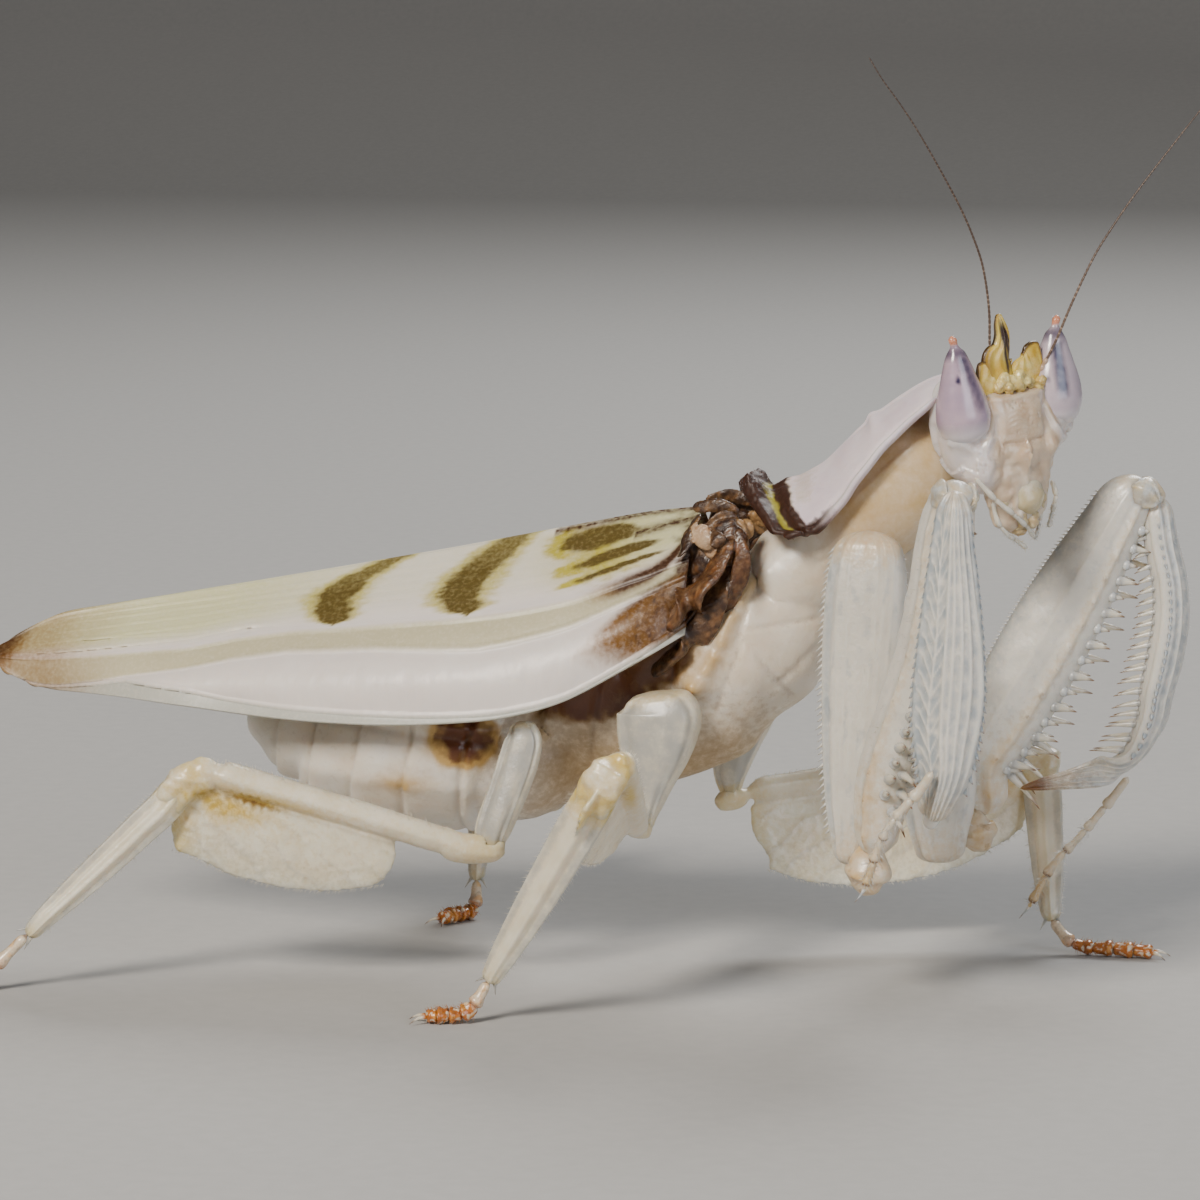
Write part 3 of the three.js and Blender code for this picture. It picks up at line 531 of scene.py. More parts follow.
def wingMarks(u, v, points):
    wobble = grain(points, 1.1)
    fine = grain(points * [0.35, 1, 1], 0.28, 9)
    dark, green = np.zeros(len(u)), np.zeros(len(u))
    for band in forewing["bands"]:
        down = np.clip(v / band["low"], 0, 1)
        middle = smoothRow(np.array(band["centre"])[:, None], down)[:, 0] + 0.006 * wobble
        half = band["half"] * (0.85 + 0.3 * np.sin(math.pi * down))
        half = half * (1 - ramp(v, band["low"] - 0.03, band["low"] + 0.02))
        off = np.abs(u - middle) / np.maximum(half, 1e-4)
        within = np.clip(1.25 - off + 0.28 * fine, 0, 1) * (v < band["low"] + 0.02)
        dark = np.maximum(dark, ramp(within, 0.15, 0.6) * (0.8 + 0.2 * ramp(v, 0.02, 0.2)))
        halo = np.clip(1.9 - off + 0.35 * fine, 0, 1) * (v < band["low"] + 0.04)
        green = np.maximum(green, 0.75 * ramp(halo, 0.1, 0.8))
    for centre, height, long, tall in forewing["lobes"]:
        lean = height + (centre - u) * -0.35 * (height > 0.2)
        off = ((u - centre) / long) ** 2 + ((v - lean) / tall) ** 2
        dark = np.maximum(dark, ramp(1.2 - off + 0.3 * fine, 0.0, 0.5))
        beyond = ((u - centre - 0.4 * long) / long) ** 2 + ((v - lean) / (tall * 1.5)) ** 2
        green = np.maximum(green, ramp(1.3 - beyond + 0.3 * fine, 0.0, 0.6) * ramp(u, centre, centre + long))
    ground = bump(u, 0.155 - 0.12 * v, 0.055) * ramp(v, 0.01, 0.05) * (1 - ramp(v + 0.05 * fine, 0.30, 0.38))
    return dark, np.maximum(green, 0.8 * ground * (1 + 0.5 * wobble))


def roundTip(u, length, least):
    # how much of its height a wing keeps towards its rounded tip
    closing = np.sqrt(np.clip(1 - np.clip(1 - (1 - u) / length, 0, 1) ** 2, 0.0, 1))
    return np.maximum(closing, least)


def makeForewing(name, side, material):
    sheet = wingSheet("forewing_" + name)
    body, grid = gridBody(forewing["columns"], forewing["rows"])
    u, v = (grid[:, 0] + 1) / 2, (grid[:, 1] + 1) / 2
    points = sheet(u, 0.55 + (v - 0.55) * roundTip(u, forewing["tipRound"], 0.35))
    top, low, rim = ridgeLines(u)
    field = np.clip((v - low) / np.maximum(rim - low, 0.02), 0, 1) * ramp(u, 0.0, 0.08) * (1 - ramp(u, 0.6, 0.85))
    swell = forewing["bulge"] * np.sin(math.pi * field) + forewing["ridge"] * wingVeins(u, v)
    swell -= 0.10 * bump(v, low + 0.03, 0.035) * ramp(u, 0, 0.1)
    crinkle = grain(points * [1.0, 1.0, 0.35], 0.5) * (v > low) * (v < rim)
    swell += 0.035 * crinkle + 0.05 * grain(points, 2.2)
    points[:, 1] += side * swell
    setPlaces(body.verts, points)
    if side < 0:
        bmesh.ops.reverse_faces(body, faces=body.faces)
    mesh = toMesh("forewing_sheet", body)
    dark, green = wingMarks(u, v, points)
    tip = 0.35 * ramp(u + 0.03 * grain(points, 1.5), 0.94, 1.0)
    tip = tip + 0.62 * ramp(u + 0.02 * grain(points, 2.5), 0.78, 0.93)
    base = 1 - ramp(u + 0.02 * grain(points * [1, 1, 2], 0.6), 0.0, 0.03)
    wrinkled = grain(points * [1, 1, 0.6], 0.24, 5)
    costal = ramp(v, 0.41 + 1.8 * u, 0.50 + 1.8 * u) * (1 - ramp(v, 0.90, 0.97))
    costal *= 1 - ramp(u + 0.25 * np.clip(v - 0.75, 0, 1) + 0.012 * wrinkled, 0.075, 0.16)
    edge = bump(v, 0.46 + 1.8 * u, 0.045) * (1 - ramp(u, 0.06, 0.11))
    streak = costal * (0.72 + 1.1 * np.clip(wrinkled + 0.1, 0, 1)) * (1 - ramp(u, 0.0, 0.15))
    streak = np.maximum(streak, 0.85 * edge)
    for start, end, width in (((0.20, 0.015), (0.0, 0.0), 0.02), ((0.085, 0.125), (0.0, 0.07), 0.03)):
        part = np.clip(1 - u / start[0], 0, 1)
        streak = np.maximum(streak, bump(v, start[1] + (end[1] - start[1]) * part, width) * (u < start[0]) * 1.2)
    arc = np.interp(u, [0, 0.018, 0.03, 0.05, 0.09, 0.13], [0.12, 0.30, 0.36, 0.41, 0.435, 0.43])
    veinBase = 1.4 * bump(v, arc, 0.045) * (1 - ramp(u, 0.075, 0.12))
    masks = {
        "dark": dark,
        "warm": green,
        "ridge": ramp(v, top - 0.01, top + 0.015) * (1 - ramp(v, low - 0.02, low + 0.02)),
        "green": (1 - ramp(v, top - 0.2, top)) * np.maximum(0.35 + 0.65 * ramp(u, 0.4, 0.7), 1 - ramp(u, 0.1, 0.2)),
        "clear": ramp(v, rim - 0.01, rim + 0.015) * (1 - ramp(u, 0.93, 0.97)),
        "tip": np.maximum.reduce([tip, 1.1 * costal, 0.8 * bump(v, arc, 0.045) * (1 - ramp(u, 0.10, 0.15))]),
        "base": np.maximum.reduce([base * (v < 0.9), 0.85 * ramp(u + 0.045 * (0.6 - v), 0.955, 0.995),
                                   streak * (0.75 + 0.5 * grain(points * [1, 1, 2], 0.3)), veinBase]),
    }
    paintMasks(mesh, masks)
    body = bmesh.new()
    body.from_mesh(mesh)
    thicken(body, forewing["thickness"])
    body.to_mesh(mesh)
    body.free()
    placePiece("forewing_skin_" + name, mesh, material, ("forewing_" + name,))


def wingMembrane(name, look):
    # Leathery forewing membrane: a dry sheet stretched between stiff veins, so it is satin, a little
    # see-through at its rim and finely creased across.
    material, tree, surface = newMaterial(name)
    place = addNode(tree, "TexCoord").outputs["Object"]
    cloud = addNode(tree, "TexNoise", {"Scale": 1 / (3.0 * mm), "Detail": 3.0}, {"Vector": place})
    colour = addNode(tree, "Mix", {6: linear(look["pale"]), 7: linear(look["shade"])}, {0: cloud.outputs[0]},
                     data_type="RGBA").outputs[2]
    speck = addNode(tree, "TexNoise", {"Scale": 1 / (0.22 * mm), "Detail": 4.0}, {"Vector": place})
    spread = addNode(tree, "MapRange", {"From Min": 0.3, "From Max": 0.7, "To Min": 0.8, "To Max": 1.15},
                     {"Value": speck.outputs[0]})
    for mask, tint in (("green", "green"), ("ridge", "ridge"), ("clear", "clear"), ("warm", "bandEdge"),
                       ("tip", "tip"), ("dark", "band"), ("base", "base")):
        paint = addNode(tree, "Attribute", attribute_name=mask)
        broken = addNode(tree, "Math", {}, {0: paint.outputs["Fac"], 1: spread.outputs[0]},
                         operation="MULTIPLY", use_clamp=True)
        colour = addNode(tree, "Mix", {7: linear(look[tint])}, {0: broken.outputs[0], 6: colour},
                         data_type="RGBA").outputs[2]
    stretched = addNode(tree, "Mapping", {"Scale": (1.0, 1.0, 0.28)}, {"Vector": place})
    crease = addNode(tree, "TexNoise", {"Scale": 1 / (0.22 * mm), "Detail": 5.0, "Roughness": 0.6},
                     {"Vector": stretched.outputs[0]})
    relief = addNode(tree, "Bump", {"Strength": 0.35, "Distance": 0.05 * mm}, {"Height": crease.outputs[0]})
    gloss = addNode(tree, "MapRange", {"To Min": 0.32, "To Max": 0.5}, {"Value": crease.outputs[0]})
    tree.links.new(colour, surface.inputs["Base Color"])
    tree.links.new(relief.outputs[0], surface.inputs["Normal"])
    tree.links.new(gloss.outputs[0], surface.inputs["Roughness"])
    setInputs(surface, {"Subsurface Weight": 0.35, "Subsurface Radius": (1.0, 0.8, 0.6),
                        "Subsurface Scale": 0.5 * mm, "IOR": 1.5, "Coat Weight": 0.12, "Coat Roughness": 0.3})
    return material


def makeHindwing(name, side, material):
    sheet = wingSheet("hindwing_" + name)
    body, grid = gridBody(hindwing["columns"], hindwing["rows"])
    u, v = (grid[:, 0] + 1) / 2, (grid[:, 1] + 1) / 2
    points = sheet(u, 0.5 + (v - 0.5) * roundTip(u, hindwing["tipRound"], 0.3))
    points[:, 1] += side * hindwing["pleat"] * np.sin(90 * v)
    setPlaces(body.verts, points)
    if side < 0:
        bmesh.ops.reverse_faces(body, faces=body.faces)
    thicken(body, hindwing["thickness"])
    finishPiece("hindwing_skin_" + name, body, material, ("hindwing_" + name,))


forewingFinish = wingMembrane("leathery wing membrane", wingLook)
# the hindwing is thinner than the forewing and has hardly any colour of its own
hindwingFinish = cuticle("thin wing membrane", {
    "pale": "#DAD8CB", "shade": "#C9C6B4", "warm": "#C9B98F", "dark": "#6B5233", "clear": "#B5B6AE",
    "mottle": 2.5, "speck": 0.3, "ragged": 0.1, "wrinkle": 0.3, "relief": 0.3, "rough": 0.4,
    "milky": 0.3, "depth": 0.4, "wax": 0.15})
for name, side in (("left", 1), ("right", -1)):
    makeForewing(name, side, forewingFinish)
    makeHindwing(name, side, hindwingFinish)
print("wings ready")


# trunk: one skin from the neck to the last ring of the abdomen

trunk = {
    "voxel": 0.17,
    "softening": 10,
    "ringLean": 0.18,  # how far the abdomen's rings lean back for each unit of height
    "ringHeight": 14.0,
    "ringStep": 0.22,
    "middle": 0.94,  # the body's middle line lies this far to the left
    # furrows down the thorax's sides: from and to (forward, up), width and depth; the first ones are darkened along
    # their grooves with painted shade
    "furrows": [
        ((9.2, 20.6), (14.2, 21.3), 0.14, -0.15), ((8.4, 19.2), (9.9, 25.0), 0.16, -0.14),
        ((9.0, 20.2), (12.2, 15.5), 0.18, -0.12), ((7.2, 15.6), (9.0, 20.2), 0.16, -0.11),
        ((4.2, 13.6), (5.2, 20.5), 0.18, -0.13), ((10.6, 17.2), (13.2, 19.8), 0.2, -0.08),
        ((-0.2, 12.4), (0.8, 19.0), 0.2, -0.11),
    ],
    "paleFurrows": [((12.6, 24.2), (16.8, 26.2), 0.18, -0.08), ((14.4, 27.4), (18.6, 31.4), 0.2, 0.12)],
    "tube": [((9.3, 23.6), (8.4, 21.7), 0.42, 0.30), ((8.4, 21.7), (7.5, 19.4), 0.45, 0.38),
             ((7.5, 19.4), (6.7, 18.0), 0.48, 0.42)],
    # swellings: (forward, out from the middle, up), half size and height
    "swellings": [
        ((9.9, 3.0, 23.6), (0.8, 1.5, 0.7), 0.34), ((10.9, 2.4, 22.3), (1.3, 2.0, 0.9), 0.22),
        ((9.3, 3.8, 18.2), (1.0, 1.5, 1.7), 0.28), ((6.6, 4.4, 17.3), (0.9, 1.4, 1.2), 0.40),
        ((2.6, 4.4, 16.6), (0.9, 1.4, 1.3), 0.32), ((5.6, 4.6, 21.2), (0.9, 1.4, 1.0), 0.30),
        ((1.2, 4.4, 19.2), (1.0, 1.4, 1.0), 0.25), ((15.4, 2.8, 25.8), (0.9, 1.5, 0.9), 0.25),
        ((-1.8, 4.4, 14.6), (0.8, 1.3, 1.1), 0.25), ((6.1, 3.9, 17.5), (0.75, 1.6, 0.6), 1.0),
        ((-2.8, 3.6, 14.2), (0.6, 1.6, 0.6), 0.55),
    ],
    # brown ground under the wings: (forward, out, up), half size and strength
    "brown": [((-2.2, 4.2, 16.2), (2.6, 2.0, 1.7), 1.0), ((4.6, 4.2, 19.6), (2.1, 2.8, 3.0), 1.2),
              ((1.4, 4.2, 17.0), (2.1, 2.0, 1.9), 1.0), ((7.0, 3.6, 24.6), (1.4, 3.0, 2.6), 0.9)],
    "eyespot": ((-7.1, 5.4, 14.0), (1.75, 2.5, 1.5)),
    "smallSpot": ((-10.7, 5.3, 11.3), (1.5, 2.0, 0.65)),
}
# soft cuticle of the body, with pale tissue behind it: creamy, milky, brown where it is tanned, and darker with painted
# shade in its furrows and towards the belly
trunkLook = {
    "pale": "#EBE3D6", "shade": "#DCCCB6", "warm": "#BF9C5C", "dark": "#5C2A06", "clear": "#E4E3DE",
    "mottle": 2.4, "speck": 0.5, "ragged": 0.18, "wrinkle": 0.45, "relief": 0.3, "rough": 0.36,
    "milky": 0.45, "depth": 0.9, "wax": 0.25,
}
rings = ["abdomen_%d" % count for count in range(1, 7)]


def oneSkin(name, body, voxel, softening):
    # merges closed shells that overlap into a single skin and softens where they meet
    mesh = toMesh(name, body)
    shell = bpy.data.objects.new(name, mesh)
    bpy.context.scene.collection.objects.link(shell)
    merge = shell.modifiers.new("merge", "REMESH")
    merge.mode = "VOXEL"
    merge.voxel_size = voxel
    soften = shell.modifiers.new("soften", "SMOOTH")
    soften.iterations = softening
    soften.factor = 0.5
    merged = bpy.data.meshes.new_from_object(shell.evaluated_get(bpy.context.evaluated_depsgraph_get()))
    bpy.data.objects.remove(shell)
    return merged


def meshNormals(mesh):
    # the way out at each of a mesh's vertices
    flat = np.empty(len(mesh.vertices) * 3)
    mesh.vertex_normals.foreach_get("vector", flat)
    return flat.reshape(-1, 3)


def setPoints(mesh, points):
    mesh.vertices.foreach_set("co", points.ravel())
    mesh.update()


def moveOut(mesh, distance):
    setPoints(mesh, meshPoints(mesh) + meshNormals(mesh) * distance[:, None])


def blob(points, centre, size):
    # 1 at a centre, fading to nothing over the half sizes
    return np.exp(-(((points - np.asarray(centre)) / np.asarray(size)) ** 2).sum(1))


def crease(points, start, end, width):
    # how near the points are to the line between two places, fading at its ends
    start, end = np.asarray(start, float), np.asarray(end, float)
    run = end - start
    part = np.clip(((points - start) @ run) / (run @ run), 0, 1)
    off = np.linalg.norm(points - (start + part[:, None] * run), axis=1)
    return np.exp(-(off / width) ** 2) * np.clip(1.25 - np.abs(2 * part - 1) ** 3, 0, 1)


def ringPlaces():
    # where one ring of the abdomen ends and the next begins
    edges = []
    for front, back in zip(rings, rings[1:]):
        edges.append((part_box(front)[0].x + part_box(back)[1].x) / 2 / mm)
    return edges


def makeTrunk():
    body = newBody()
    right = np.array([0, -1.0, 0])
    line, halves = stations(["mesothorax", "metathorax"] + rings, (-1, 0, 0), right, 24, 0.02)
    loft(body, line, halves, right, 96, 200, (1.2, 1.0))
    for node, way, count in (("prothorax", (0.8, 0, 0.6), 9), ("neck", (0.95, 0.1, 0.3), 5)):
        line, halves = stations(node, way, right, count)
        line = np.vstack([line[0] - unit(way) * 1.2, line, line[-1] + unit(way) * 1.2])
        halves = np.vstack([halves[0] * 0.9, halves, halves[-1] * 0.95])
        loft(body, line, halves, right, 64, 60, (1.2, 1.2))
    throat = nodeMiddle("prothorax") * 0.5 + nodeMiddle("mesothorax") * 0.5
    loft(body, [throat + (-2.5, 0, -1.0), throat, throat + (2.2, 0, 1.6)], [[2.4, 2.6], [2.7, 3.0], [2.3, 2.6]], right,
         48, 40, (1.5, 1.5))
    mesh = oneSkin("trunk_skin", body, trunk["voxel"], trunk["softening"])
    sculptTrunk(mesh)
    placePiece("trunk_skin", mesh, cuticle("milky body cuticle", trunkLook),
               ["neck", "prothorax", "mesothorax", "metathorax"] + rings)


def sculptTrunk(mesh):
    points = meshPoints(mesh)
    folded = points.copy()
    folded[:, 1] = np.abs(points[:, 1] - trunk["middle"])  # both sides alike
    x, y, z = folded.T
    fine, broad = grain(points, 0.5), grain(points, 1.6, 4)
    out = 0.03 * broad + 0.012 * fine
    leaned = x - trunk["ringLean"] * (z - trunk["ringHeight"]) + 0.12 * broad
    edges = ringPlaces()
    abdomen = ramp(-leaned, -edges[0] - 2.0, -edges[0] - 0.5)
    for edge in edges:
        behind = edge - leaned
        out += trunk["ringStep"] * (ramp(-behind, 0, 0.12) * ramp(behind, -2.2, 0) - 0.6 * bump(behind, 0.12, 0.16))
    hem = bump(z + 0.12 * (x + 10), 14.9, 0.35) * ramp(-x, 4, 7)  # fold between back and belly plates
    out += 0.22 * hem - 0.2 * bump(z + 0.12 * (x + 10), 14.2, 0.3) * ramp(-x, 4, 7)
    out += 0.12 * bump(z + 0.1 * (x + 10), 11.2, 0.5) * ramp(-x, 5, 8) * (1 - ramp(-x, 15, 19))
    flat, flank = folded[:, [0, 2]], ramp(y, 1.2, 2.2)
    for start, end, width, depth in trunk["furrows"] + trunk["paleFurrows"] + trunk["tube"]:
        out += depth * crease(flat, start, end, width) * flank
    for centre, size, height in trunk["swellings"]:
        out += height * blob(folded, centre, size)
    moveOut(mesh, out)
    scatter = 0.30 * fine + 0.25 * broad
    eyespot = blob(folded, *trunk["eyespot"]) + 0.10 * fine
    spot = ramp(eyespot, 0.36, 0.46) * (0.62 + 0.35 * ramp(eyespot, 0.5, 0.8) + 0.5 * np.minimum(fine, 0.3))
    halo = np.maximum(bump(eyespot, 0.34, 0.13), ramp(eyespot, 0.3, 0.4))
    small = blob(folded, *trunk["smallSpot"]) * (0.8 + scatter)
    brown = sum(strength * blob(folded, centre, size) for centre, size, strength in trunk["brown"])
    brown = ramp(brown + 0.35 * broad + 0.2 * fine, 0.35, 0.95)
    # painted shade: the first furrows are darkened along their grooves
    lines = flank * sum(crease(flat, start, end, 0.2) for start, end, _, _ in trunk["furrows"])
    prothorax = ramp(x + 0.35 * (z - 26), 12.0, 15.5)
    # tan towards the belly: partly the belly's own colour, partly painted shade
    belly = 1 - ramp(z, 11.0, 17.5)
    tube = flank * sum(crease(flat, start, end, 0.55) for start, end, _, _ in trunk["tube"])
    knobs = blob(folded, (6.1, 3.9, 17.5), (0.9, 2.0, 0.8)) + 0.8 * blob(folded, (-2.8, 3.6, 14.2), (0.8, 2.0, 0.7))
    brown = brown * (1 - np.clip(1.2 * knobs, 0, 1)) * (1 - 0.8 * np.clip(tube, 0, 1))
    # painted shade: the thorax darkens towards the belly
    paintedBellyShade = 0.24 * (1 - ramp(z + 0.6 * broad, 12.0, 20.0)) * (1 - 0.8 * abdomen)
    tan = [0.85 * small, 0.95 * halo, 0.55 * prothorax * (1 + 0.4 * broad), 0.95 * np.sqrt(brown),
           0.6 * np.clip(tube, 0, 1), 0.75 * np.clip(knobs, 0, 1),
           0.7 * belly * (1 - 0.7 * abdomen) * ramp(x, -6, 0)]
    paintMasks(mesh, {"dark": np.maximum(spot, 0.85 * brown) + 0.14 * lines + paintedBellyShade,
                      "warm": np.maximum.reduce(tan) + 0.08, "clear": 0.5 * abdomen * (0.6 + 0.5 * broad)})


def makeCerci(material):
    for name in ("left", "right"):
        body = newBody()
        line, halves = stations("cercus_" + name, (-1, 0, 0), (0, 1, 0), 6)
        line[0] += (0.9, 0, -0.2)
        loft(body, line, halves, (0, 1, 0), 20, 60, (0.3, 0.25),
             shape=lambda share, angle: 0.05 * np.sin(share * 55))
        for _ in range(26):
            share, angle = random.uniform(0.25, 0.98), random.uniform(-math.pi, math.pi)
            foot = smoothRow(line, np.array([share]))[0]
            way = np.array([-0.5, math.cos(angle), math.sin(angle)])
            tooth(body, foot + unit(way) * 0.24, way, 0.3, 0.016)
        finishPiece("cercus_skin_" + name, body, material, ("cercus_" + name,))


makeTrunk()
print("trunk ready")


# pronotum: the saddle-shaped shield with its banded collar

pronotum = {
    "columns": 190, "rows": 120,
    "thickness": 0.34,
    # shares of the shield's box: along it, out from the middle, up
    "middle": [(0.0, 0.0, 0.30), (0.25, 0.0, 0.35), (0.50, 0.0, 0.58), (0.66, 0.0, 0.75), (0.86, 0.0, 0.91),
               (1.0, 0.0, 0.97)],
    "edge": [(0.27, 0.95, 0.01), (0.42, 0.95, 0.13), (0.60, 0.91, 0.41), (0.74, 0.82, 0.63), (0.89, 0.67, 0.80),
             (0.98, 0.42, 0.90)],
    "collar": 0.24,  # how far the bands reach forward, as a share of the length
    "hairs": 170,
}
# harder shield cuticle with a fine tooth and no wax: satin, faintly pink, with a dark and a green band
pronotumLook = {
    "pale": "#EADDE0", "shade": "#DCCBD3", "warm": "#9E9638", "dark": "#3A1F12", "clear": "#B4B2AC",
    "mottle": 2.0, "speck": 0.3, "ragged": 0.14, "wrinkle": 0.3, "relief": 0.4, "rough": 0.5,
    "milky": 0.4, "depth": 0.7, "wax": 0.0,
}


def makePronotum():
    low, high = (np.array(corner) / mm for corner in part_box("pronotum"))
    body, grid = gridBody(pronotum["columns"], pronotum["rows"])
    u, side = (grid[:, 0] + 1) / 2, grid[:, 1]
    away = np.abs(side)
    corner = 1 - 0.10 * ramp(away, 0.75, 1.0) * (1 - ramp(u, 0.0, 0.06)) - 0.5 * ramp(u, 0.9, 1.0) * away ** 3
    middle = smoothRow(np.array(pronotum["middle"]), u)
    edge = smoothRow(np.array(pronotum["edge"]), u)
    size, half = high - low, (high[1] - low[1]) / 2
    points = np.empty((len(u), 3))
    points[:, 0] = low[0] + size[0] * (middle[:, 0] + (edge[:, 0] - middle[:, 0]) * away ** 1.6)
    points[:, 1] = (low[1] + high[1]) / 2 + half * edge[:, 1] * side * corner
    points[:, 2] = low[2] + size[2] * (middle[:, 2] + (edge[:, 2] - middle[:, 2]) * away ** 2.2)
    setPlaces(body.verts, points)
    fine, broad = grain(points, 0.32), grain(points, 1.3, 3)
    collar = pronotum["collar"] * (1 - 0.25 * away)
    place = u / collar
    raised = 0.42 * bump(place, 0.14, 0.16) + 0.20 * bump(place, 0.78, 0.17) - 0.12 * bump(place, 0.46, 0.14)
    knob = bump(away, 0.24, 0.14) * bump(u, 0.045, 0.05)
    raised += 0.75 * knob * (1 + 0.35 * fine) + 0.25 * bump(away, 0.06, 0.07) * (1 - ramp(u, 0.0, 0.5))
    raised += 0.16 * bump(away, 0.0, 0.04) * ramp(u, 0.3, 0.5) + 0.22 * bump(u, 0.56, 0.03) * (1 - ramp(away, 0.3, 0.8))
    raised += 0.14 * bump(away, 0.965, 0.03) - 0.14 * bump(away, 0.91, 0.03)
    raised += 0.05 * broad + 0.05 * fine * (1 - ramp(place, 0.7, 1.2)) - 0.1 * bump(u, 0.33, 0.05)
    normals = outward(body)
    if normals[:, 2].mean() < 0:
        bmesh.ops.reverse_faces(body, faces=body.faces)
        normals = -normals
    curl = 1.3 * ramp(away, 0.80, 1.0) * (1 - ramp(u, 0.03, 0.26))
    setPlaces(body.verts, points + normals * (raised + 0.15)[:, None] + np.array([0.35, 0, 0.65]) * curl[:, None])
    ragged = 0.05 * fine + 0.04 * broad
    band = place + ragged
    lowEnd = ramp(away, 0.55, 0.85)
    dark = 1 - ramp(band, 0.34, 0.42)
    dark += ramp(band, 0.46, 0.54) * (1 - ramp(band, 0.76 + 0.1 * lowEnd, 0.86 + 0.1 * lowEnd))
    hem = ramp(away + ragged, 0.86, 0.92) * (1 - ramp(u, 0.20, 0.33))  # the band turns up at the corner
    dark = np.maximum.reduce([dark, knob * 1.5, hem])
    green = (1 - ramp(band, 0.7, 0.98)) * (1 - 0.4 * ramp(band, 0.5, 0.7))
    green = np.maximum(green, 0.30 * bump(place, 1.05, 0.25) * (1 - lowEnd))
    paintVerts(body, body.verts, {"dark": np.minimum(dark, 1), "warm": np.minimum(green, 1),
                                  "clear": bump(away, 0.945, 0.035) * ramp(u, 0.12, 0.2)})
    thicken(body, pronotum["thickness"])
    for _ in range(pronotum["hairs"]):  # short stiff hairs on the collar's knobs
        across = random.choice((-1, 1)) * random.gauss(0.24, 0.10)
        near = int(np.argmin((side - across) ** 2 + (u - random.uniform(0, 0.11)) ** 2))
        foot = points[near] + normals[near] * (raised[near] + 0.1)
        way = normals[near] + np.array([random.gauss(0, 0.4), random.gauss(0, 0.4), 0])
        tooth(body, foot, way, random.uniform(0.12, 0.26), 0.02, dark=1)
    finishPiece("pronotum_shield", body, cuticle("satin shield cuticle", pronotumLook), ("pronotum",))


makePronotum()
makeCerci(cuticle("creamy tail cuticle", {**trunkLook, "pale": "#E8E0D0", "shade": "#D8CDB6"}))
print("pronotum ready")


# wing bases: the folded hinge plates between thorax and forewing

# thick tanned chitin with a smooth face: from amber to nearly black, glossy where it folds over, with painted shade
# between the folds and painted highlight streaks
hingeLook = {
    "pale": "#C9A878", "shade": "#B08A58", "warm": "#86480F", "dark": "#2A140A", "clear": "#E6DCC4",
    "mottle": 0.9, "speck": 0.16, "ragged": 0.12, "wrinkle": 0.18, "relief": 0.8, "rough": 0.38,
    "milky": 0.15, "depth": 0.4, "wax": 0.35,
}
hinge = {
    "voxel": 0.085,
    "softening": 9,
    "spread": 1.35,  # folds overlap their neighbours
    "flat": 0.45,
    "sunk": 0.09,
}
# each fold: places as shares of the hinge's box (forward, outward, up), half widths, and how dark, warm and
# clear it is; the last one is the sheet behind the others
hingeFolds = [
    {"route": [(0.28, 0.35, 1.08), (0.17, 0.6, 0.95), (0.13, 0.72, 0.84), (0.02, 0.8, 0.76)],
     "half": [0.30, 0.34, 0.30, 0.2], "paint": (0.95, 0.3, 0)},
    {"route": [(0.10, 0.1, 1.10), (0.50, 0.2, 1.13), (0.85, 0.2, 1.08)], "half": [0.26, 0.34, 0.26],
     "paint": (0.85, 0.5, 0)},
    {"route": [(0.36, 0.45, 0.98), (0.60, 0.4, 1.06), (0.86, 0.35, 1.04)], "half": [0.22, 0.28, 0.22],
     "paint": (0.8, 0.5, 0)},
    {"route": [(0.24, 0.62, 0.99), (0.40, 0.70, 0.92), (0.5, 0.70, 0.82)], "half": [0.36, 0.5, 0.34],
     "paint": (0.05, 0.45, 0.5)},
    {"route": [(0.55, 0.7, 0.97), (0.63, 0.8, 0.90), (0.62, 0.75, 0.84)], "half": [0.28, 0.42, 0.28],
     "paint": (0.8, 0.6, 0)},
    {"route": [(0.86, 0.25, 1.02), (0.94, 0.35, 0.97), (0.96, 0.35, 0.88)], "half": [0.35, 0.46, 0.35],
     "paint": (0.3, 0.35, 0.1)},
    {"route": [(0.85, 0.6, 0.93), (0.97, 0.72, 0.78), (0.90, 0.70, 0.60), (0.74, 0.62, 0.42), (0.56, 0.5, 0.22)],
     "half": [0.3, 0.42, 0.45, 0.40, 0.2], "paint": (0.75, 0.8, 0)},
    {"route": [(0.80, 0.65, 0.92), (0.58, 0.85, 0.68), (0.34, 0.95, 0.52), (0.08, 0.95, 0.38), (-0.16, 0.9, 0.28)],
     "half": [0.40, 0.62, 0.78, 0.9, 0.7], "paint": (0.72, 0.7, 0)},
    {"route": [(0.80, 0.55, 0.74), (0.62, 0.72, 0.50), (0.36, 0.75, 0.24), (-0.05, 0.72, 0.02), (-0.4, 0.6, -0.12)],
     "half": [0.4, 0.6, 0.72, 0.75, 0.5], "paint": (0.85, 0.6, 0)},
    {"route": [(0.86, 0.50, 0.62), (0.68, 0.54, 0.36), (0.46, 0.56, 0.10), (0.20, 0.52, -0.10)],
     "half": [0.3, 0.4, 0.5, 0.35], "paint": (0.8, 0.7, 0)},
    {"route": [(0.52, 0.22, 1.02), (0.56, 0.40, 0.80), (0.44, 0.48, 0.48), (0.12, 0.42, 0.12)],
     "half": [1.3, 1.45, 1.0, 0.6], "paint": (0.95, 0.6, 0)},
]


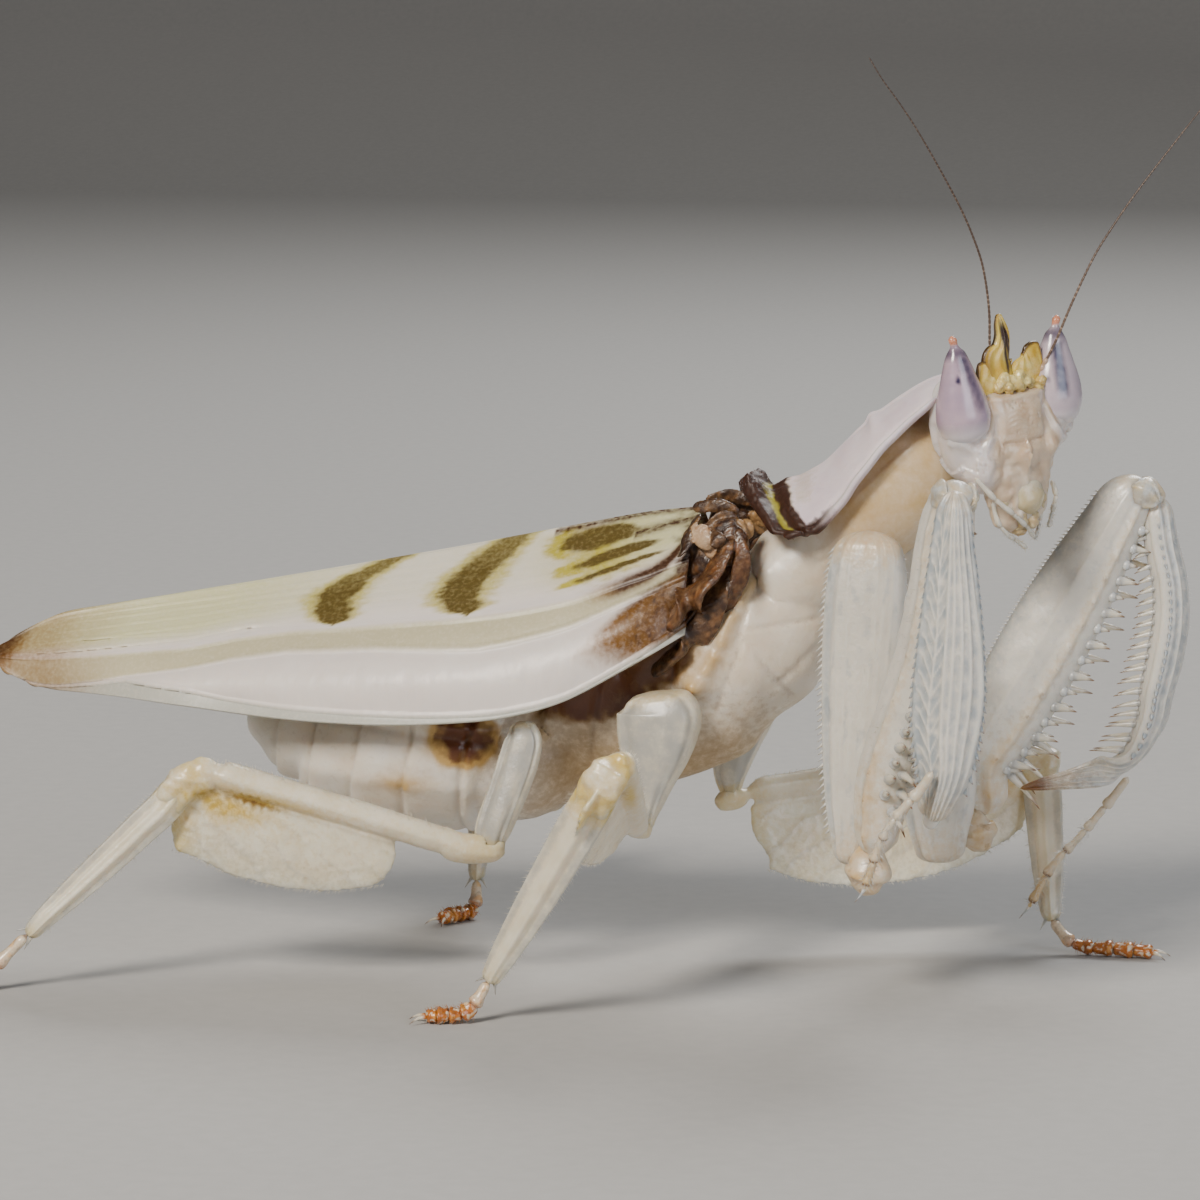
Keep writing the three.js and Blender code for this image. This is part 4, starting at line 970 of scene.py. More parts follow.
def makeHinge(name, side, material):
    # folds of the hinge are merged into one skin, then painted by the fold they belong to
    low, high = (np.array(corner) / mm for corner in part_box("wing_root_" + name))
    inner = low[1] if side > 0 else high[1]
    body, routes = newBody(), []
    for fold in hingeFolds:
        route = np.array(fold["route"], float) - [0, hinge["sunk"] * (fold is not hingeFolds[-1]), 0]
        places = np.stack([low[0] + route[:, 0] * (high[0] - low[0]), inner + side * route[:, 1] * (high[1] - low[1]),
                           low[2] + route[:, 2] * (high[2] - low[2])], 1)
        half = np.array(fold["half"])[:, None] * np.array([[hinge["spread"], hinge["flat"]]])
        loft(body, places, half, (0.7, 0, 0.7), 40, 60, (0.5, 0.5))
        finer = np.linspace(0, 1, 24)
        routes.append((smoothRow(places, finer), smoothRow(half[:, :1], finer)[:, 0]))
    mesh = oneSkin("wing_hinge_" + name, body, hinge["voxel"], hinge["softening"])
    points = meshPoints(mesh)
    fine, broad = grain(points, 0.25), grain(points, 0.8, 4)
    far = np.stack([np.min(np.linalg.norm(points[:, None] - route[None], axis=2) / half[None], axis=1)
                    for route, half in routes], 1)
    far[:, -1] += 0.75  # the sheet behind the folds shows only between them
    weight = np.exp(-far / 0.12)
    weight /= weight.sum(1)[:, None]
    tints = weight @ np.array([fold["paint"] for fold in hingeFolds])
    # painted shade: where the folds meet, the seam is sunk and darkened
    seam = 1 - ramp(weight.max(1), 0.45, 0.75)
    rows = np.sin(grain(points, 0.5, 7) * 7 + points[:, 2] * 16 - points[:, 0] * 16)
    moveOut(mesh, 0.05 * broad + 0.012 * rows - 0.12 * seam + 0.02 * fine)
    # painted highlight: random streaks lighten and warm the dark folds as glints
    streak = ramp(grain(points, 0.4, 12), 0.05, 0.5)
    dark, warm, clear = tints.T
    paintMasks(mesh, {"dark": dark * (0.95 + 0.2 * fine) + 0.15 * broad + 0.3 * seam - 0.25 * streak,
                      "warm": warm * (0.9 + 0.3 * fine) + 0.1 * streak, "clear": clear * (0.9 + 0.5 * broad)})
    placePiece("wing_hinge_" + name, mesh, material, ("wing_root_" + name,))


hingeFinish = cuticle("glossy hinge chitin", hingeLook)
for name, side in (("left", 1), ("right", -1)):
    makeHinge(name, side, hingeFinish)
print("wing hinges ready")


# grasping forelegs

# thin leg cuticle over clear tissue: greyish white, and glassy between its ribs
legLook = {
    "pale": "#E2DDD2", "shade": "#D2CEC4", "warm": "#D2AE72", "dark": "#5C3416", "clear": "#A8AFB2",
    "mottle": 1.6, "speck": 0.3, "ragged": 0.25, "wrinkle": 0.35, "relief": 0.35, "rough": 0.3,
    "milky": 0.5, "depth": 1.1, "wax": 0.4,
}
# solid chitin, polished by use: pale and glossy, with dark tanned tips
spineLook = {**legLook, "pale": "#EFEBE2", "clear": "#D8CFBE", "dark": "#4E2810", "rough": 0.18, "wax": 0.8}


def segmented(count, swell, pinches, less=0):
    # relief of a chain of segments: each swells at one place and is pinched at others
    def shape(share, angle):
        part = (share * count) % 1
        out = swell[0] * bump(part, swell[1], swell[2])
        for depth, place, width in pinches:
            out = out - depth * bump(part, place, width)
        return out - less

    return shape


def skinPoint(line, halves, wide, share, angle):
    # a place on the side of a loft, the way straight out from it and the way along
    before, here, after = smoothRow(line, np.array([share - 0.01, share, share + 0.01]))
    along = unit(after - before)
    wide = unit(np.asarray(wide, float) - along * np.dot(wide, along))
    over = np.cross(along, wide)
    size = smoothRow(halves, np.array([share]))[0]
    if len(size) == 2:
        size = size[[0, 0, 1, 1]]
    cosine, sine = math.cos(angle), math.sin(angle)
    across, deep = size[0 if cosine > 0 else 1], size[2 if sine > 0 else 3]
    out = unit(wide * cosine / across + over * sine / deep)
    return here + wide * cosine * across + over * sine * deep, out, along


def edgeStations(node, along, back, backHalf, count=9, near=0.6):
    # a limb's middle line measured from its smooth back edge, so that its spines don't count
    along = unit(along)
    back = unit(np.asarray(back, float) - along * np.dot(back, along))
    across = np.cross(along, back)
    reach = nodeCorners(node) @ along
    levels = np.linspace(reach.min() + 0.03 * np.ptp(reach), reach.max() - 0.03 * np.ptp(reach), count)
    depth = spread(backHalf, count)
    line, halves = [], []
    for level, cut, deep in zip(levels, nodeCuts([node], along, levels), depth):
        edge = (cut @ back).max()
        side = (cut @ across)[cut @ back > edge - deep * (1 + near)]
        line.append(along * level + back * (edge - deep) + across * (side.min() + side.max()) / 2)
        halves.append([deep, np.ptp(side) / 2])
    line[0] -= along * 0.03 * np.ptp(reach)
    line[-1] += along * 0.03 * np.ptp(reach)
    return np.array(line), np.array(halves)


def hairs(body, line, halves, wide, count, angles, length, radius, lean=0.5, span=(0.05, 0.95)):
    # fine down between two angles round a loft and over a span of its length
    for _ in range(count):
        foot, out, along = skinPoint(line, halves, wide, random.uniform(*span), random.uniform(*angles))
        way = out + along * lean + np.array([random.gauss(0, 0.15) for _ in range(3)])
        tooth(body, foot, way, length * random.uniform(0.6, 1.2), radius)


# half depths from a limb's smooth back edge and down to its spines, from the body outwards, then the
# shifts that bring its middle line in place, the shin's half widths, and how each is ribbed and armed
forelegs = {
    "right": {
        "belly": (0.5, -0.87, 0), "femurBack": [1.45, 1.9, 2.1, 2.0, 1.5], "femurBelly": [1.6, 2.2, 2.2, 1.9, 1.2],
        "grow": 0.45, "femurShift": [(-0.5, 0, -0.7), (-0.3, 0, 0), (0, 0, 0), (0, 0, 0), (0, 0, 0)],
        "tibiaBelly": (-0.1, 0.99, 0), "tibiaBack": [0.9, 0.95, 1.0, 1.05, 0.95], "tibiaShift": (-0.1, 0, 0),
        "tibiaAcross": [0.75, 1.05, 1.35, 1.6, 1.8, 1.9, 1.75, 1.35, 0.7], "coxaTeeth": 44, "clawShift": (0, 0, 0),
        "shaftShift": (0, 0, 0), "ribs": (-0.88, -0.62, -0.36, -0.10, 0.12), "ribHeight": 1.0, "veined": 1,
        "shinEnd": 0.6, "scallopReach": 0.86, "spineReach": 0.82, "spineSize": 0.62, "spineLean": 0.42, "tipDark": 0,
        "clawFolded": True,
    },
    "left": {
        "belly": (0.84, 0.05, -0.54), "femurBack": [1.7, 2.3, 2.6, 2.4, 1.8], "femurBelly": [1.5, 2.1, 2.1, 1.7, 1.1],
        "grow": 0.35, "femurShift": [(-1.7, 0, 0.5), (-1.2, 0, 0), (-1.0, 0, 0), (-0.8, 0, 0), (-0.3, 0, 0)],
        "tibiaBelly": (-0.95, 0, -0.3), "tibiaBack": [0.95, 1.05, 1.1, 0.85, 0.16], "tibiaShift": (-0.5, 0, 0),
        "tibiaAcross": [0.8, 1.1, 1.25, 1.35, 1.4, 1.4, 1.25, 0.85, 0.25], "coxaTeeth": 30,
        "clawShift": [(-0.7, 0, -0.45), (-2.2, 0, 0.3)],
        "shaftShift": (5.0, 0, 0),  # the claw swings away from the shaft, which ends above it
        "ribs": (-0.8, -0.3, 0.2, 0.7), "ribHeight": 0.5, "veined": 0,
        "shinEnd": 2.6, "scallopReach": 0.78, "spineReach": 0.74, "spineSize": 1.0, "spineLean": 0.6, "tipDark": 1,
        "clawFolded": False,
    },
}
foreDetail = {
    "longSpine": 2.1, "shortSpine": 1.3, "spineRadius": 0.26, "femurSpines": 17, "tibiaSpines": 19,
    "discoidal": 2.6, "serration": 0.26, "edgeTeeth": 70, "scallop": 0.42, "scallops": 27, "down": 220,
}


def makeForeleg(name, material, spineMaterial):
    leg, prefix = forelegs[name], "foreleg_%s_" % name
    coxaLine, coxaHalves = stations(prefix + "coxa", (0, 0, -1), (1, 0, 0), 12)
    body = newBody()
    loft(body, coxaLine, coxaHalves, (1, 0, 0), 110, 200, (1.0, 0.7), shape=coxaRelief, paint=coxaPaint,
         square=0.72)
    for count in range(leg["coxaTeeth"]):
        share = 0.06 + 0.86 * count / leg["coxaTeeth"]
        foot, out, along = skinPoint(coxaLine, coxaHalves, (1, 0, 0), share, math.pi)
        tooth(body, foot, out + 0.9 * along, 0.42 if count % 3 else 0.55, 0.15)
        foot, out, along = skinPoint(coxaLine, coxaHalves, (1, 0, 0), share, 0.0)
        if count % 2:
            tooth(body, foot, out + 0.5 * along, 0.2, 0.08)
    hairs(body, coxaLine, coxaHalves, (1, 0, 0), 160, (0.2, math.pi - 0.2), 0.22, 0.014)
    finishPiece(prefix + "coxa_skin", body, material, (prefix + "coxa",))

    body = newBody()
    line, halves = stations(prefix + "trochanter", (-0.2, 0, -1), (1, 0, 0), 6)
    line[0] += (0, 0, 0.8)
    halves = halves * np.array([1.0, 1.12, 1.1, 1.0, 0.85, 0.6])[:, None]
    loft(body, line, halves, (1, 0, 0), 64, 80, (0.9, 0.5),
         shape=lambda share, angle: 0.07 * np.sin(share * 16) + 0.05 * np.sin(3 * angle),
         paint=lambda share, angle, points: {"warm": 0.6 + 0.35 * grain(points, 0.8),
                                             "dark": 0.25 * ramp(grain(points, 0.5, 6), 0.1, 0.4)})
    finishPiece(prefix + "trochanter_skin", body, material, (prefix + "trochanter",))

    makeForeFemur(leg, prefix, material, spineMaterial)
    makeForeTibia(leg, prefix, material, spineMaterial)

    body = newBody()
    top, low = nodeEnds(prefix + "tarsus")
    line, halves = stations(prefix + "tarsus", low - top, (0, 1, 0), 9)
    line[0] += unit(top - low) * 0.5
    segments = 5.2
    loft(body, line, halves, (0, 1, 0), 28, 150, (0.3, 0.3),
         shape=segmented(segments, (0.10, 0.85, 0.16), [(0.09, 0.02, 0.07)], 0.10),
         paint=lambda share, angle, points: {
             "warm": 0.35 + 0.4 * ramp(share, 0.5, 1),
             "dark": 0.75 * bump((share * segments) % 1, 0.97, 0.08) * ramp(share, 0.45, 0.6)})
    hairs(body, line, halves, (0, 1, 0), 200, (-math.pi, math.pi), 0.34, 0.018, 0.6, span=(0.3, 0.98))
    for side in (-1, 1):
        foot = line[-1] + (0, 0.15 * side, 0)
        spine(body, foot, unit(low - top) + np.array([0, 0.5 * side, 0]), 0.7, 0.09, bend=(-0.3, 0, -0.2), dark=0.9)
    finishPiece(prefix + "tarsus_skin", body, material, (prefix + "tarsus",))


def coxaRelief(share, angle):
    cosine, sine = np.cos(angle), np.sin(angle)
    facing = np.clip(sine, 0, 1)
    flange = -0.16 * bump(cosine, -0.72, 0.10) * facing + 0.07 * bump(cosine, -0.93, 0.06)
    veins = sum(0.05 * bump(cosine + 0.05 * np.sin(share * 9 + count), place, 0.022)
                for count, place in enumerate((-0.5, -0.25, -0.02, 0.2, 0.45, 0.68)))
    return flange + veins * facing + 0.06 * np.sin(share * 150 + 7 * cosine) * bump(cosine, -0.85, 0.1) * 0.3


def coxaPaint(share, angle, points):
    cosine = np.cos(angle)
    fine = grain(points * [1, 1, 0.35], 0.4)
    return {"clear": 0.6 * bump(cosine, -0.80, 0.13) + 0.35 * ramp(fine, 0.1, 0.5) * (share > 0.1),
            "warm": 0.55 * (1 - ramp(share + 0.05 * fine, 0.02, 0.16)) + 0.35 * ramp(share, 0.8, 1.0)}


def makeForeFemur(leg, prefix, material, spineMaterial):
    top, low = nodeEnds(prefix + "femur")
    belly = np.array(leg["belly"])
    line, halves = edgeStations(prefix + "femur", top - low, -belly, leg["femurBack"], 9)
    line = line + smoothRow(np.array(leg["femurShift"], float), np.linspace(0, 1, 9))
    halves[:, 0] += leg["grow"] * np.array([0.6, 1, 1, 1, 1, 0.9, 0.6, 0.3, 0])
    halves[0] *= 0.75
    deep = spread(leg["femurBelly"], 9)
    halves = np.stack([deep, halves[:, 0], halves[:, 1], halves[:, 1]], 1)
    body = newBody()

    def relief(share, angle):
        cosine, sine = np.cos(angle), np.sin(angle)
        ridge = 0.13 * bump(cosine, 0.42, 0.10) + 0.10 * bump(cosine, -0.25, 0.07) - 0.12 * bump(cosine, 0.1, 0.14)
        veins = 0.04 * np.sin(share * 60 + 6 * np.sin(angle * 2)) * bump(cosine, -0.55, 0.25)
        kneeLobe = 0.10 * ramp(share, 0.93, 0.985) * bump(np.abs(sine), 0.8, 0.3)
        bumps = 0.10 * bump((share * 14) % 1, 0.5, 0.18) * bump(cosine, 0.42, 0.1)
        return ridge * (1 - ramp(share, 0.9, 1.0)) + veins + kneeLobe + bumps

    def paint(share, angle, points):
        cosine = np.cos(angle)
        fine = grain(points, 0.6)
        dots = bump((share * 14) % 1, 0.5, 0.13) * bump(cosine, 0.42, 0.07)
        return {"warm": 0.3 * bump(cosine, 0.42, 0.2) + 0.34 * (1 - ramp(share, 0.05, 0.4)) * (0.8 + fine)
                + 0.45 * ramp(share, 0.93, 1.0),
                "dark": 0.45 * dots * (share < 0.8) * (fine > 0.05),
                "clear": 0.35 * ramp(-cosine, 0.45, 0.95) + 0.2 * ramp(fine, 0, 0.5)}

    loft(body, line, halves, belly, 120, 200, (1.0, 1.6), shape=relief, paint=paint)
    across = unit(np.cross(line[-1] - line[0], belly))
    along, inward, wide = unit(line[-1] - line[0]), unit(belly), halves[-1, 2]
    block = [line[-1] - along * 1.5 + inward * 0.3, line[-1] - along * 0.7 + inward * 0.35,
             line[-1] + along * 0.2 + inward * 0.3]
    loft(body, block, [[1.0, wide * 0.9], [1.15, wide * 1.05], [0.8, wide * 0.75]], belly, 72, 60, (0.6, 0.7),
         shape=lambda share, angle: 0.06 * np.cos(5 * angle) + 0.04 * np.sin(12 * share),
         paint=lambda share, angle, points: {"warm": 0.3 + 0.5 * grain(points, 0.6),
                                             "clear": 0.4 * ramp(share, 0.6, 1)})
    for side in (-1, 1):  # rounded lobes that hold the knee
        middle = line[-1] - along * 0.75 + across * side * wide * 0.75 + inward * 0.35
        loft(body, [middle - inward * 0.9, middle, middle + inward * 1.0],
             [[0.5, 0.3], [0.85, 0.42], [0.55, 0.3]], line[-1] - line[0], 40, 40, (0.7, 0.7),
             shape=lambda share, angle: 0.05 * np.cos(angle * 5),
             paint=lambda share, angle, points: {"warm": 0.35 + 0.4 * grain(points, 0.5), "clear": 0.3})
    for count in range(foreDetail["edgeTeeth"]):  # fine teeth of the outer edge
        share = 0.10 + 0.84 * count / foreDetail["edgeTeeth"]
        foot, out, along = skinPoint(line, halves, belly, share, math.pi)
        tooth(body, foot, out - 0.5 * along, foreDetail["serration"], 0.09)
    for flank in ((1.2, 3.0), (-3.0, -1.2)):
        hairs(body, line, halves, belly, foreDetail["down"], flank, 0.2, 0.013, -0.4)
    finishPiece(prefix + "femur_skin", body, material, (prefix + "femur",))
    armFemur(leg, prefix, line, halves, belly, spineMaterial)


def armFemur(leg, prefix, line, halves, belly, material):
    # two rows of long and short spines under the thigh, and the longest ones near its base
    body = newBody()
    total = foreDetail["femurSpines"]
    for side in (-1, 1):
        for count in range(total):
            share = 0.14 + 0.76 * count / (total - 1)
            long = foreDetail["longSpine"] if (count + (side > 0)) % 2 else foreDetail["shortSpine"]
            long *= (1 - 0.35 * share) * (1.0 if side > 0 else 0.8)
            foot, out, along = skinPoint(line, halves, belly, share, side * 0.42)
            way = out * 0.35 + belly * 0.85 + along * leg["spineLean"]
            spine(body, foot, way, long, foreDetail["spineRadius"] * (1.1 if long > 1.2 else 0.9),
                  bend=-along * 0.12, dark=0.85, columns=10, rows=16)
            bulb(body, foot, foreDetail["spineRadius"] * 1.25)
    for count in range(4):  # the long discoidal spines near the base
        foot, out, along = skinPoint(line, halves, belly, 0.10 + 0.055 * count, 0.15 * (count % 2))
        spine(body, foot, belly - along * (0.25 - 0.12 * count), foreDetail["discoidal"] * (1, 0.8, 0.95, 0.7)[count],
              0.24, bend=-along * 0.15, dark=1.0, columns=12, rows=20)
        bulb(body, foot, 0.32)
    finishPiece(prefix + "femur_spines", body, material)


def bulb(body, foot, radius):
    # the swollen foot of a spine
    bmesh.ops.create_icosphere(smallShape(body), subdivisions=2, radius=radius,
                               matrix=Matrix.Translation(Vector(foot)))


def makeForeTibia(leg, prefix, material, spineMaterial):
    top, low = nodeEnds(prefix + "tibia")
    belly = unit(leg["tibiaBelly"])
    low = low + np.array(leg["shaftShift"])
    line, halves = edgeStations(prefix + "tibia", low - top, -belly, leg["tibiaBack"], 9, 0.2)
    line = line + np.array(leg["tibiaShift"])
    halves[:, 1] = leg["tibiaAcross"]
    line[-2:] += np.array(leg["clawShift"])
    body = newBody()

    def ribbing(share, sine):
        return sum(bump(sine + 0.04 * np.sin(share * 7 + 3 * rib), rib, 0.05) for rib in leg["ribs"])

    def branches(share, sine):  # a midrib with side veins that slant away from it, beside the ribs
        slant = bump((share * 17 + 3.5 * np.abs(sine - 0.52)) % 1, 0.5, 0.13)
        midrib = bump(sine, 0.52 + 0.05 * np.sin(share * 11), 0.035)
        return leg["veined"] * (midrib + 0.8 * slant) * ramp(sine, 0.16, 0.26) * (sine < 0.93)

    def relief(share, angle):
        cosine, sine = np.cos(angle), np.sin(angle)
        outer = ramp(cosine, -0.2, 0.4)
        strong = leg["ribHeight"]
        lines = strong * 0.12 * ribbing(share, sine) * ramp(share, 0.01, 0.13)
        lines += 0.09 * branches(share, sine) * ramp(share, 0.08, 0.2)
        sunk = leg["veined"] * 0.10 * ramp(sine, 0.12, 0.25) * (1 - ramp(sine, 0.85, 0.95))
        return (lines - 0.08 * strong - sunk) * outer + 0.16 * bump(np.abs(sine), 0.97, 0.06)

    def paint(share, angle, points):
        cosine, sine = np.cos(angle), np.sin(angle)
        bare = 1 - np.clip(ribbing(share, sine) + branches(share, sine), 0, 1)
        deep = 0.55 + 0.3 * ramp(sine, 0.12, 0.25) * leg["veined"]
        return {"clear": deep * bare * ramp(cosine, -0.2, 0.4) * (0.8 + grain(points, 0.5)),
                "dark": (0.3 * ramp(share, 0.88, 0.96) + 0.7 * ramp(share, 0.95, 0.985)) * leg["tipDark"],
                "warm": 0.3 * (1 - ramp(share, 0.0, 0.1)) + 0.35 * ramp(share, 0.85, 1.0)}

    loft(body, line, halves, -belly, 120, 220, (1.2, leg["shinEnd"]), shape=relief, paint=paint)
    for side in (-1, 1):
        for count in range(foreDetail["scallops"]):  # they overlap along both rims
            share = 0.07 + leg["scallopReach"] * count / foreDetail["scallops"]
            foot, out, along = skinPoint(line, halves, -belly, share, side * (math.pi / 2 - 0.12))
            long = foreDetail["scallop"] * (0.7 + 0.7 * share)
            spine(body, foot - out * 0.05, out + along * (0.8 + 0.5 * share), long, 0.15 + 0.05 * share,
                  dark=0.8 * ramp(share, 0.3, 0.8), columns=8, rows=10)
    hairs(body, line, halves, -belly, 160, (-1.2, 1.2), 0.18, 0.013)
    finishPiece(prefix + "tibia_skin", body, material, (prefix + "tibia",))
    armTibia(leg, prefix, line, halves, belly, unit(top - low), spineMaterial)


def armTibia(leg, prefix, line, halves, belly, upwards, material):
    # two rows of spines that grow longer towards the claw
    body = newBody()
    total = foreDetail["tibiaSpines"]
    for side in (-1, 1):
        for count in range(total):
            share = 0.10 + leg["spineReach"] * count / (total - 1)
            foot, out, along = skinPoint(line, halves, -belly, share, math.pi - side * 0.6)
            long = (0.8 + 1.25 * share) * leg["spineSize"]
            spine(body, foot, belly * 0.9 + out * 0.3 + along * (0.1 - 0.35 * share), long, 0.14 + 0.06 * share,
                  bend=along * 0.12, dark=1.0, columns=9, rows=14)
            bulb(body, foot, 0.17 + 0.06 * share)
    if leg["clawFolded"]:  # it folds back out of sight; the other foreleg's is the end of the shaft
        tip = line[-1] - upwards * 0.5 + belly
        loft(body, [line[-2], line[-1], tip], [[0.7, 0.7], [0.5, 0.5], [0.1, 0.1]], -belly, 28, 50, (0.5, 0.1),
             paint=lambda share, angle, points: {"dark": ramp(share, 0.74, 0.92)})
    finishPiece(prefix + "tibia_spines", body, material)


foreFinish = cuticle("translucent leg cuticle", legLook)
spineFinish = cuticle("hard spine chitin", spineLook)
for name in ("right", "left"):
    makeForeleg(name, foreFinish, spineFinish)
print("forelegs ready")


# walking legs: half widths of the shin and thigh, which way they broaden, how strong each marking is
walking = {
    "mid_leg_right": {
        "shin": 1.15, "lobe": (-0.5, 0, -0.87), "broad": (0.85, 0, -0.5), "coxa": [1.5, 1.25, 0.98, 0.72, 0.55],
        "hip": 0.55, "tan": 0.25, "mark": 0.35, "yellow": 0.9,
    },
    "mid_leg_left": {
        "shin": 1.1, "lobe": (0, -0.3, -0.95), "broad": (1, 0, 0.15), "coxa": [1.5, 1.25, 0.98, 0.72, 0.55],
        "hip": 0.55, "tan": 0.35, "mark": 0.2, "yellow": 0.3,
    },
    "hind_leg_right": {
        "shin": 0.95, "lobe": (0, 0.15, -1), "broad": (0, 0, -1), "coxa": [0.6, 0.55, 0.56, 0.62, 0.7],
        "hip": 0.85, "tan": 0.9, "mark": 1.0, "yellow": 0.6,
    },
    "hind_leg_left": {
        "shin": 0.95, "lobe": (-0.1, 0, -1), "broad": (1, 0, 0), "coxa": [0.6, 0.6, 0.6, 0.62, 0.7],
        "hip": 0.85, "tan": 0.9, "mark": 1.0, "yellow": 0.6,
    },
}
# the walking legs' cuticle is thicker and creamier, with yellow at the joints
walkLook = {**legLook, "pale": "#EBE3CF", "shade": "#DDD2B8", "warm": "#D6B64C", "dark": "#6E430F",
            "clear": "#ACAAA2", "milky": 0.5}
# foot pads: amber chitin, wet-looking, with pale soft joints
footLook = {**legLook, "pale": "#C77A2A", "shade": "#A85A1A", "warm": "#E0A450", "dark": "#4A2410",
            "clear": "#E6D8BE", "mottle": 0.5, "speck": 0.12, "rough": 0.25, "wax": 0.8, "milky": 0.3}


def makeWalkingLeg(name, material, footMaterial):
    leg = walking[name]
    coxaLine, coxaHalves = stations(name + "_coxa", (0, 0, -1), (1, 0, 0), 8)
    coxaHalves = coxaHalves * spread(leg["coxa"], 8)[:, None]
    top, low = nodeEnds(name + "_tibia")
    shinLine, shinHalves = stations(name + "_tibia", low - top, leg["broad"], 9)
    shinHalves[:, 0] = leg["shin"] * np.array([1.0, 1.04, 1.02, 0.98, 0.93, 0.86, 0.76, 0.62, 0.42])
    shinWay, broad = unit(shinLine[-1] - shinLine[0]), unit(leg["broad"])
    knee = shinLine[0] - shinWay * 0.8
    coxaEnd = coxaLine[-1] + (0, 0, 0.8)

    body = newBody()
    loft(body, coxaLine, coxaHalves, (1, 0, 0), 72, 110, (0.3, 0.5), square=0.5,
         shape=lambda share, angle: 0.09 * np.cos(4 * angle + 0.6) + 0.05 * np.cos(7 * angle + share * 3),
         paint=lambda share, angle, points: {"clear": (0.8 + 0.5 * grain(points, 0.9)) * ramp(share, 0.0, 0.07)
                                             * (1 - 0.8 * bump(np.abs(np.cos(angle)), 1.0, 0.12)),
                                             "warm": 0.5 * ramp(share, 0.8, 1) + 0.3 * (1 - ramp(share, 0, 0.12))})
    for count in range(18):
        foot, out, along = skinPoint(coxaLine, coxaHalves, (1, 0, 0), 0.12 + 0.045 * count, math.pi)
        tooth(body, foot, out + along * 0.6, 0.2, 0.07)
    hairs(body, coxaLine, coxaHalves, (1, 0, 0), 120, (-math.pi, math.pi), 0.24, 0.014)
    finishPiece(name + "_coxa_skin", body, material, (name + "_coxa",))

    makeWalkingFemur(name, leg, coxaEnd, knee, material, coxaLine, shinLine)

    body = newBody()

    def flange(share, angle):  # ribs down the middle, thin raised edges
        cosine = np.cos(angle)
        return 0.10 * bump(cosine, 0.15, 0.16) + 0.07 * bump(np.abs(cosine), 0.92, 0.06) \
            - 0.13 * bump(np.abs(cosine), 0.6, 0.2) * ramp(share, 0.05, 0.2) * (1 - ramp(share, 0.75, 0.95))

    loft(body, shinLine, shinHalves, leg["broad"], 96, 170, (0.35, 0.5), shape=flange,
         paint=lambda share, angle, points: {
             "clear": 0.55 * ramp(np.abs(np.cos(angle)), 0.45, 0.8) * (1 - 0.5 * grain(points, 0.8)),
             "warm": leg["yellow"] * 0.8 * (1 - ramp(share, 0.03, 0.2)) + 0.35 * ramp(share, 0.88, 1.0)})
    for side in (-1, 1):
        spine(body, shinLine[-1] + broad * 0.25 * side - shinWay * 0.3, shinWay + broad * 0.6 * side, 0.9, 0.12,
              dark=0.3)
        edge = 0.0 if side > 0 else math.pi
        hairs(body, shinLine, shinHalves, leg["broad"], 90, (edge - 0.35, edge + 0.35), 0.3, 0.015)
    finishPiece(name + "_tibia_skin", body, material, (name + "_tibia",))
    makeFoot(name, shinLine[-1], footMaterial)


